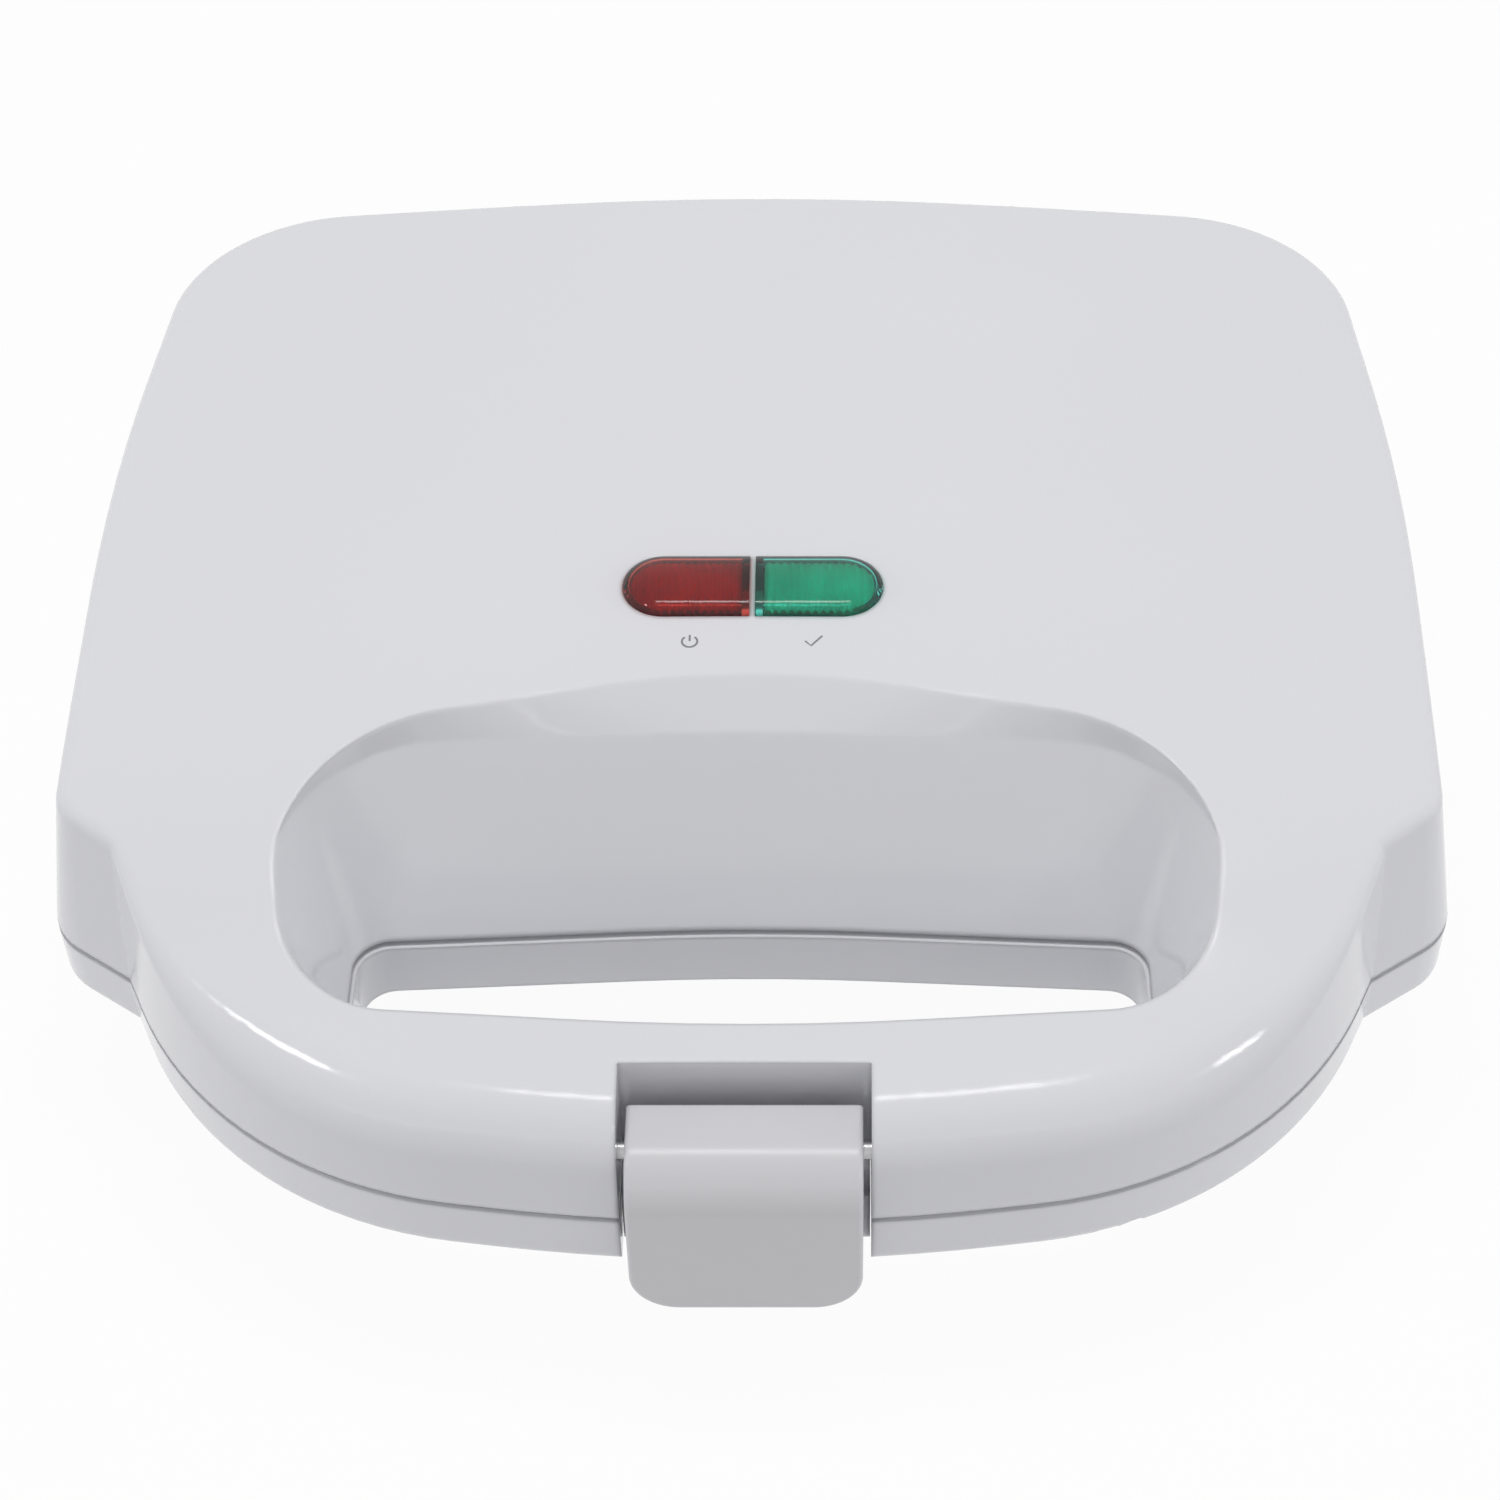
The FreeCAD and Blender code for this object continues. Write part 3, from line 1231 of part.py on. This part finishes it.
def main():
    os.makedirs("parts", exist_ok=True)
    save("lid_cover", lid_cover())
    save("lid_frame", lid_frame())
    save("lid_screws", lid_screws())
    save("red_lens", lens(-1))
    save("green_lens", lens(1))
    save("red_lamp", lamp(-1))
    save("green_lamp", lamp(1))
    save("lamp_holder", lamp_holder())
    save("latch_clip", latch_clip())
    save("latch_pin", latch_pin())
    save("lid_wires", lid_wires())
    for level, turn in (("upper", lambda s: s), ("lower", mirrored)):
        save(level + "_plate", turn(plate()))
        save(level + "_heater", turn(heater()))
        save(level + "_heater_clamps", [turn(s) for s in heater_clamps()])
        save(level + "_reflector", turn(reflector()))
        save(level + "_plate_screws", [turn(s) for s in plate_screws()])
        save(level + "_reflector_screws", [turn(s) for s in reflector_screws()])
    shell = base_shell()
    save("base_housing", base_housing(shell))
    save("latch_catch", latch_catch(shell))
    save("inlet_piece", inlet_piece(shell))
    save("base_frame", base_frame())
    save("base_screws", base_screws())
    save("hinge_pins", [hinge_rod(side, HINGE_PIN_R) for side in (-1, 1)])
    save("feet", feet())
    save("cord_bush", cord_bush())
    save("terminal_block", terminal_block())
    save("thermostat", thermostat())
    save("thermal_fuse", thermal_fuse())
    save("base_wires", base_wires())


main()
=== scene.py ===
import bmesh
import bpy
import json
import math
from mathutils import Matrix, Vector


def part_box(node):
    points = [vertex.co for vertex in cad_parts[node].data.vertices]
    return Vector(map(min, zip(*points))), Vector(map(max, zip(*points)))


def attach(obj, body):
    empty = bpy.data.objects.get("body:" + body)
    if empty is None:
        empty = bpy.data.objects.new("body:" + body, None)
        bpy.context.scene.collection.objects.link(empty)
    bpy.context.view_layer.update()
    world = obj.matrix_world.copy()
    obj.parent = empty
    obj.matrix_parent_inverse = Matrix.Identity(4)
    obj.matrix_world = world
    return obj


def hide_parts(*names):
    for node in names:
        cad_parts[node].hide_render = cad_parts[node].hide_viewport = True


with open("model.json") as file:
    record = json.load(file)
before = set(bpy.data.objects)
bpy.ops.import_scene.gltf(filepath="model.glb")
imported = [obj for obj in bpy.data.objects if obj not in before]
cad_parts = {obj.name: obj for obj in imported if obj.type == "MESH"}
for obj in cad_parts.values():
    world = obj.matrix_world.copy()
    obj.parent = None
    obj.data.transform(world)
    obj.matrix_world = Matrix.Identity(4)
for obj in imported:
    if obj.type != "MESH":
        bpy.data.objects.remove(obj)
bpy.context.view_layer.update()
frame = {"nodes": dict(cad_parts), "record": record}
nodes = frame["nodes"]


# Materials

def fresh_material(name):
    mat = bpy.data.materials.new(name)
    mat.use_nodes = True
    tree = mat.node_tree
    shader = tree.nodes["Principled BSDF"]
    return mat, tree, shader


def coordinates(tree):
    return tree.nodes.new("ShaderNodeTexCoord").outputs["Object"]


def noise(tree, scale, detail=3.0, rough=0.5, stretch=None):
    tex = tree.nodes.new("ShaderNodeTexNoise")
    tex.inputs["Scale"].default_value = scale
    tex.inputs["Detail"].default_value = detail
    tex.inputs["Roughness"].default_value = rough
    source = coordinates(tree)
    if stretch:
        turn = tree.nodes.new("ShaderNodeMapping")
        turn.inputs["Scale"].default_value = stretch
        tree.links.new(source, turn.inputs["Vector"])
        source = turn.outputs["Vector"]
    tree.links.new(source, tex.inputs["Vector"])
    return tex.outputs["Fac"]


def spread(tree, value, low, high):
    """Map a noise value on to a range of numbers."""
    node = tree.nodes.new("ShaderNodeMapRange")
    node.inputs["From Min"].default_value = 0.3
    node.inputs["From Max"].default_value = 0.7
    node.inputs["To Min"].default_value = low
    node.inputs["To Max"].default_value = high
    tree.links.new(value, node.inputs["Value"])
    return node.outputs["Result"]


def colours(tree, value, stops):
    ramp = tree.nodes.new("ShaderNodeValToRGB")
    ramp.color_ramp.elements[0].position = stops[0][0]
    ramp.color_ramp.elements[0].color = (*stops[0][1], 1)
    ramp.color_ramp.elements[1].position = stops[-1][0]
    ramp.color_ramp.elements[1].color = (*stops[-1][1], 1)
    for place, colour in stops[1:-1]:
        ramp.color_ramp.elements.new(place).color = (*colour, 1)
    tree.links.new(value, ramp.inputs["Fac"])
    return ramp.outputs["Color"]


def bump(tree, shader, height, strength, distance, edge=None):
    node = tree.nodes.new("ShaderNodeBump")
    node.inputs["Strength"].default_value = strength
    node.inputs["Distance"].default_value = distance
    tree.links.new(height, node.inputs["Height"])
    if edge:
        soft = tree.nodes.new("ShaderNodeBevel")
        soft.samples = 6
        soft.inputs["Radius"].default_value = edge
        tree.links.new(soft.outputs["Normal"], node.inputs["Normal"])
    tree.links.new(node.outputs["Normal"], shader.inputs["Normal"])


def gloss_plastic(name, colour, low, high, edge):
    """Moulded gloss plastic: a faint flow in the colour, a slightly uneven polish and a fine ripple."""
    mat, tree, shader = fresh_material(name)
    deep = [c * 0.985 for c in colour]
    tint = colours(tree, noise(tree, 9.0, 2.0), [(0.35, deep), (0.65, colour)])
    tree.links.new(tint, shader.inputs["Base Color"])
    tree.links.new(spread(tree, noise(tree, 60.0, 4.0), low, high), shader.inputs["Roughness"])
    shader.inputs["IOR"].default_value = 1.52
    bump(tree, shader, noise(tree, 170.0, 2.0), 0.05, 0.00015, edge)
    return mat


def grained_plastic(name, colour, grain, edge):
    mat, tree, shader = fresh_material(name)
    deep = [c * 0.93 for c in colour]
    tint = colours(tree, noise(tree, 40.0, 4.0), [(0.35, deep), (0.65, colour)])
    tree.links.new(tint, shader.inputs["Base Color"])
    tree.links.new(spread(tree, noise(tree, 300.0), 0.42, 0.58), shader.inputs["Roughness"])
    bump(tree, shader, noise(tree, grain, 2.0), 0.25, 0.00012, edge)
    return mat


def nonstick(name):
    """Cast plate with a dark sprayed coating: fine speckle, soft sheen, slight orange peel."""
    mat, tree, shader = fresh_material(name)
    tint = colours(tree, noise(tree, 1500.0, 2.0),
                   [(0.30, (0.018, 0.018, 0.019)), (0.62, (0.032, 0.032, 0.034)),
                    (0.72, (0.085, 0.085, 0.09))])
    tree.links.new(tint, shader.inputs["Base Color"])
    tree.links.new(spread(tree, noise(tree, 120.0, 4.0), 0.30, 0.42), shader.inputs["Roughness"])
    bump(tree, shader, noise(tree, 650.0, 2.0), 0.22, 0.00015, 0.0005)
    return mat


def metal(name, colour, low, high, stretch, scale=90.0, strength=0.12):
    """Metal with fine draw or brush lines along one direction."""
    mat, tree, shader = fresh_material(name)
    lines = noise(tree, scale, 4.0, 0.6, stretch)
    deep = [c * 0.86 for c in colour]
    tree.links.new(colours(tree, lines, [(0.3, deep), (0.7, colour)]), shader.inputs["Base Color"])
    shader.inputs["Metallic"].default_value = 1.0
    tree.links.new(spread(tree, lines, low, high), shader.inputs["Roughness"])
    bump(tree, shader, lines, strength, 0.0001, 0.0002)
    return mat


def lens_plastic(name, colour):
    """Clear tinted moulding with a slightly uneven polish."""
    mat, tree, shader = fresh_material(name)
    deep = [c * 0.8 for c in colour]
    tint = colours(tree, noise(tree, 120.0, 2.0), [(0.35, deep), (0.65, colour)])
    tree.links.new(tint, shader.inputs["Base Color"])
    shader.inputs["Transmission Weight"].default_value = 1.0
    shader.inputs["IOR"].default_value = 1.42
    tree.links.new(spread(tree, noise(tree, 200.0), 0.02, 0.05), shader.inputs["Roughness"])
    bump(tree, shader, noise(tree, 260.0, 2.0), 0.06, 0.0002)
    return mat


def lamp_glass(name):
    mat, tree, shader = fresh_material(name)
    tint = colours(tree, noise(tree, 300.0, 2.0), [(0.35, (0.90, 0.88, 0.84)), (0.65, (0.97, 0.95, 0.92))])
    tree.links.new(tint, shader.inputs["Base Color"])
    shader.inputs["Transmission Weight"].default_value = 0.7
    tree.links.new(spread(tree, noise(tree, 400.0), 0.08, 0.18), shader.inputs["Roughness"])
    bump(tree, shader, noise(tree, 500.0, 2.0), 0.08, 0.0001)
    return mat


def rubber(name):
    mat, tree, shader = fresh_material(name)
    tint = colours(tree, noise(tree, 500.0, 4.0),
                   [(0.35, (0.055, 0.055, 0.057)), (0.65, (0.085, 0.085, 0.088))])
    tree.links.new(tint, shader.inputs["Base Color"])
    tree.links.new(spread(tree, noise(tree, 900.0), 0.62, 0.8), shader.inputs["Roughness"])
    bump(tree, shader, noise(tree, 1100.0, 2.0), 0.3, 0.00012, 0.0004)
    return mat


def woven_sleeve(name):
    """Glass-fibre sleeving: fine threads running in one diagonal direction."""
    mat, tree, shader = fresh_material(name)
    first = tree.nodes.new("ShaderNodeTexWave")
    first.bands_direction = "DIAGONAL"
    first.inputs["Scale"].default_value = 420.0
    first.inputs["Distortion"].default_value = 1.5
    tree.links.new(coordinates(tree), first.inputs["Vector"])
    threads = first.outputs["Fac"]
    tint = colours(tree, threads, [(0.2, (0.52, 0.50, 0.45)), (0.8, (0.74, 0.72, 0.66))])
    tree.links.new(tint, shader.inputs["Base Color"])
    tree.links.new(spread(tree, threads, 0.55, 0.8), shader.inputs["Roughness"])
    bump(tree, shader, threads, 0.4, 0.0002)
    return mat


WHITE = (0.775, 0.778, 0.815)
BY_SLOT = {
    "white_shell": gloss_plastic("white_gloss_plastic", WHITE, 0.09, 0.14, 0.0014),
    "latch_plastic": gloss_plastic("latch_gloss_plastic", (0.675, 0.672, 0.70), 0.19, 0.26, 0.0007),
    "frame_plastic": grained_plastic("frame_grained_plastic", (0.66, 0.66, 0.67), 700.0, 0.0005),
    "nonstick_plate": nonstick("nonstick_coating"),
    "element_sheath": metal("heater_sheath", (0.34, 0.31, 0.28), 0.35, 0.5, (1, 8, 8)),
    "reflector_sheet": metal("plated_sheet", (0.66, 0.66, 0.65), 0.25, 0.4, (1, 12, 1)),
    "screw_steel": metal("zinc_screw", (0.60, 0.60, 0.62), 0.28, 0.4, (1, 1, 6), 300.0),
    "pin_steel": metal("ground_pin", (0.62, 0.62, 0.63), 0.2, 0.3, (20, 1, 1), 200.0),
    "red_lens": lens_plastic("red_lens_plastic", (0.66, 0.07, 0.05)),
    "green_lens": lens_plastic("green_lens_plastic", (0.10, 0.72, 0.58)),
    "lamp_glass": lamp_glass("lamp_glass_tube"),
    "holder_plastic": grained_plastic("holder_cream_plastic", (0.70, 0.67, 0.57), 500.0, 0.0004),
    "wire_sleeve": woven_sleeve("wire_woven_sleeve"),
    "foot_rubber": rubber("foot_black_rubber"),
    "thermostat_can": metal("drawn_can", (0.62, 0.61, 0.58), 0.25, 0.4, (6, 6, 1), 160.0),
}
for part in frame["record"]["subparts"]:
    mesh = nodes[part["node"]].data
    mesh.materials.clear()
    mesh.materials.append(BY_SLOT[part["material_slot"]])


# Indicator lenses: two halves of one domed capsule, each over a ribbed reflector

def new_piece(name, verts, faces, material, smooth=True):
    mesh = bpy.data.meshes.new(name)
    mesh.from_pydata(verts, [], faces)
    mesh.update()
    edit = bmesh.new()
    edit.from_mesh(mesh)
    bmesh.ops.remove_doubles(edit, verts=edit.verts, dist=1e-7)
    bmesh.ops.recalc_face_normals(edit, faces=edit.faces)
    edit.to_mesh(mesh)
    edit.free()
    mesh.polygons.foreach_set("use_smooth", [smooth] * len(mesh.polygons))
    mesh.materials.append(material)
    piece = bpy.data.objects.new(name, mesh)
    bpy.context.scene.collection.objects.link(piece)
    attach(piece, "lid")
    return piece


def ring_faces(rings, count):
    """Quads between closed rings of the same number of points, with both ends capped."""
    faces = [list(range(count))[::-1]]
    for r in range(rings - 1):
        for i in range(count):
            j = (i + 1) % count
            faces.append([r * count + i, r * count + j, (r + 1) * count + j, (r + 1) * count + i])
    faces.append(list(range((rings - 1) * count, rings * count)))
    return faces


red_low, red_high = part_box("red_lens")
LENS_RISE = 0.0024
LENS_SKIRT = 0.0026
LENS_WALL = 0.0013
LENS_Y = (red_low.y + red_high.y) / 2
LENS_EDGE = red_high.z - LENS_RISE
LENS_HALF_LENGTH = 0.0225
LENS_HALF_WIDTH = 0.0072
LENS_BAR_HALF = 0.0005
ARC_STEPS = 28
DOME_STEPS = 12


def half_capsule(side, radius, z, bar):
    """Half of a capsule outline of a given end radius, from the bar round the end and back."""
    end = LENS_HALF_LENGTH - LENS_HALF_WIDTH
    points = [(side * bar, LENS_Y - radius, z)]
    for i in range(ARC_STEPS + 1):
        turn = math.pi * i / ARC_STEPS - math.pi / 2
        points.append((side * (end + radius * math.cos(turn)), LENS_Y + radius * math.sin(turn), z))
    points.append((side * bar, LENS_Y + radius, z))
    return points


def dome(side, wall, floor):
    """Rings from the skirt's foot up and over the dome."""
    radius = LENS_HALF_WIDTH - wall
    rise = LENS_RISE - wall
    rings = [half_capsule(side, radius, floor, LENS_BAR_HALF + wall)]
    for i in range(DOME_STEPS + 1):
        turn = math.pi / 2 * i / DOME_STEPS
        width = max(radius * math.cos(turn), 0.00004)
        rings.append(half_capsule(side, width, LENS_EDGE + rise * math.sin(turn), LENS_BAR_HALF + wall))
    return rings


def lens_cover(name, node, side, material):
    """A hollow domed cover: outer dome, inner dome and the rim that joins them."""
    foot = LENS_EDGE - LENS_SKIRT
    outer = dome(side, 0.0, foot)
    inner = dome(side, LENS_WALL, foot)
    count = len(outer[0])
    verts = [p for ring in outer for p in ring]
    start = len(verts)
    verts += [p for ring in inner for p in ring]
    faces = ring_faces(len(outer), count)[1:]
    faces += [[v + start for v in f] for f in ring_faces(len(inner), count)[1:]]
    for i in range(count):
        j = (i + 1) % count
        faces.append([i, j, start + j, start + i])
    piece = new_piece(name, verts, faces, material)
    piece.data.set_sharp_from_angle(angle=math.radians(40.0))
    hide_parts(node)
    return piece


RIB_COUNT = 14
RIB_HEIGHT = 0.0005
REFLECTOR_GAP = 0.0002
REFLECTOR_DROP = 0.0009


def lens_reflector(name, side, material):
    """A ribbed plate in the lens that throws the lamp's light upwards."""
    near = LENS_BAR_HALF + LENS_WALL + REFLECTOR_GAP
    far = LENS_HALF_LENGTH - LENS_WALL - REFLECTOR_GAP
    half = LENS_HALF_WIDTH - LENS_WALL - REFLECTOR_GAP
    base = LENS_EDGE - REFLECTOR_DROP
    profile = []
    for i in range(RIB_COUNT * 2 + 1):
        along = near + (far - near) * i / (RIB_COUNT * 2)
        profile.append((along, base + (RIB_HEIGHT if i % 2 else 0.0)))
    end = LENS_HALF_LENGTH - LENS_HALF_WIDTH
    verts = []
    for along, z in profile:
        past = max(along - end, 0.0)
        reach = math.sqrt(max(half * half - past * past, 1e-8))
        for y, level in ((-reach, z), (reach, z), (reach, base - RIB_HEIGHT), (-reach, base - RIB_HEIGHT)):
            verts.append((side * along, LENS_Y + y, level))
    return new_piece(name, verts, ring_faces(len(profile), 4), material, smooth=False)


lens_cover("red_lens_cover", "red_lens", -1, BY_SLOT["red_lens"])
lens_cover("green_lens_cover", "green_lens", 1, BY_SLOT["green_lens"])
RED_REFLECTOR = grained_plastic("red_reflector_plastic", (0.55, 0.10, 0.06), 900.0, 0.0001)
GREEN_REFLECTOR = grained_plastic("green_reflector_plastic", (0.06, 0.72, 0.58), 900.0, 0.0001)
lens_reflector("red_lens_reflector", -1, RED_REFLECTOR)
lens_reflector("green_lens_reflector", 1, GREEN_REFLECTOR)


# Printed signs under the lenses: a power sign and a tick

def surface_height(x, y):
    above = Vector((x, y, 0.2))
    return nodes["lid_cover"].ray_cast(above, Vector((0, 0, -1)))[1].z


PRINT_THICK = 0.00004
SIGN_X = 0.0105
SIGN_Y = LENS_Y - 0.0131
SIGN_R = 0.0013
STROKE = 0.00034


def printed_line(name, points):
    """A thin printed stroke that lies on the lid."""
    count = len(points)
    verts = []
    for i in range(count):
        before = Vector(points[max(i - 1, 0)])
        after = Vector(points[min(i + 1, count - 1)])
        along = (after - before).normalized()
        across = Vector((-along.y, along.x)) * STROKE / 2
        for shift in (across, -across):
            x, y = points[i][0] + shift.x, points[i][1] + shift.y
            top = surface_height(x, y) + PRINT_THICK
            verts += [(x, y, top), (x, y, top - 2 * PRINT_THICK)]
    order = [0, 2, 3, 1]
    rings = [[4 * i + k for k in order] for i in range(count)]
    faces = [rings[0][::-1], rings[-1]]
    for a, b in zip(rings, rings[1:]):
        faces += [[a[k], a[(k + 1) % 4], b[(k + 1) % 4], b[k]] for k in range(4)]
    return new_piece(name, verts, faces, PRINT, smooth=False)


PRINT = grained_plastic("printed_grey", (0.24, 0.24, 0.25), 1500.0, 0.00005)
GAP_ANGLE = 40
RING_STEP = 8
BAR_LOW = 0.0001
BAR_HIGH = SIGN_R * 1.15
TICK = ((-0.0014, 0.0001), (-0.0004, -0.0010), (0.0015, 0.0013))
ring = []
for step in range(90 + GAP_ANGLE, 450 - GAP_ANGLE + 1, RING_STEP):
    angle = math.radians(step)
    ring.append((-SIGN_X + SIGN_R * math.cos(angle), SIGN_Y + SIGN_R * math.sin(angle)))
printed_line("power_sign_ring", ring)
printed_line("power_sign_bar", [(-SIGN_X, SIGN_Y + BAR_LOW), (-SIGN_X, SIGN_Y + BAR_HIGH)])
printed_line("ready_sign_tick", [(SIGN_X + x, SIGN_Y + y) for x, y in TICK])


# Stage

def seen_directly(tree):
    """1 for rays from the camera, mirrors and glass, 0 for the light that the surface gives off."""
    path = tree.nodes.new("ShaderNodeLightPath")
    total = path.outputs["Is Camera Ray"]
    for kind in ("Is Glossy Ray", "Is Transmission Ray"):
        add = tree.nodes.new("ShaderNodeMath")
        add.operation = "MAXIMUM"
        tree.links.new(total, add.inputs[0])
        tree.links.new(path.outputs[kind], add.inputs[1])
        total = add.outputs["Value"]
    return total


FLOOR_GLOW = 0.94
bpy.ops.mesh.primitive_plane_add(size=6.0, location=(0, 0, 0))
floor = bpy.context.object
floor.name = "floor"
floor_mat, tree, shader = fresh_material("floor_white")
shader.inputs["Roughness"].default_value = 0.9
shader.inputs["Specular IOR Level"].default_value = 0.0
paper = colours(tree, noise(tree, 30.0, 4.0), [(0.35, (0.86, 0.86, 0.86)), (0.65, (0.88, 0.88, 0.88))])
tree.links.new(paper, shader.inputs["Base Color"])
glow = tree.nodes.new("ShaderNodeEmission")
glow.inputs["Strength"].default_value = 1.0
share = tree.nodes.new("ShaderNodeMath")
share.operation = "MULTIPLY"
share.inputs[1].default_value = FLOOR_GLOW
tree.links.new(seen_directly(tree), share.inputs[0])
both = tree.nodes.new("ShaderNodeMixShader")
tree.links.new(share.outputs["Value"], both.inputs["Fac"])
tree.links.new(shader.outputs["BSDF"], both.inputs[1])
tree.links.new(glow.outputs["Emission"], both.inputs[2])
tree.links.new(both.outputs["Shader"], tree.nodes["Material Output"].inputs["Surface"])
floor.data.materials.append(floor_mat)

SKY_LIGHT = 0.44
world = bpy.data.worlds.new("studio")
bpy.context.scene.world = world
world.use_nodes = True
tree = world.node_tree
sky = tree.nodes["Background"]
level = tree.nodes.new("ShaderNodeMapRange")
level.inputs["To Min"].default_value = SKY_LIGHT
level.inputs["To Max"].default_value = 1.0
tree.links.new(seen_directly(tree), level.inputs["Value"])
sky.inputs["Color"].default_value = (1.0, 1.0, 1.0, 1.0)
tree.links.new(level.outputs["Result"], sky.inputs["Strength"])


def softbox(name, place, target, size, power):
    data = bpy.data.lights.new(name, "AREA")
    data.shape = "RECTANGLE"
    data.size, data.size_y = size
    data.energy = power
    lamp = bpy.data.objects.new(name, data)
    lamp.location = place
    lamp.rotation_euler = (Vector(target) - Vector(place)).to_track_quat("-Z", "Y").to_euler()
    bpy.context.scene.collection.objects.link(lamp)
    return lamp


MIDDLE = (0.0, 0.0, 0.04)
overhead = softbox("overhead", (0.0, 0.05, 1.2), MIDDLE, (0.5, 0.3), 3.6)
overhead.visible_glossy = False
softbox("sheen_strip", (0.0, 0.05, 1.1), MIDDLE, (0.42, 0.08), 0.95)
for side, name in ((-1, "left_fill"), (1, "right_fill")):
    fill = softbox(name, (side * 1.3, -0.1, 0.35), MIDDLE, (0.5, 0.5), 2.0)
    fill.visible_glossy = False
softbox("front_strip", (0.0, -1.25, 0.62), MIDDLE, (2.6, 0.05), 0.6)
softbox("left_edge_lamp", (-0.66, -0.26, 1.10), MIDDLE, (0.08, 0.08), 0.6)
softbox("right_edge_lamp", (0.90, -0.62, 0.62), MIDDLE, (0.07, 0.07), 0.4)

# Camera at the photograph's viewpoint

view = bpy.data.cameras.new("camera")
view.sensor_width = 36.0
view.lens = 86.4
view.shift_x = -0.0633
view.clip_start = 0.01
camera = bpy.data.objects.new("camera", view)
camera.location = (0.01585, -0.45955, 0.503)
camera.rotation_euler = (math.radians(44.0), 0.0, 0.0)
bpy.context.scene.collection.objects.link(camera)
bpy.context.scene.camera = camera

bpy.context.scene.view_settings.view_transform = "Standard"
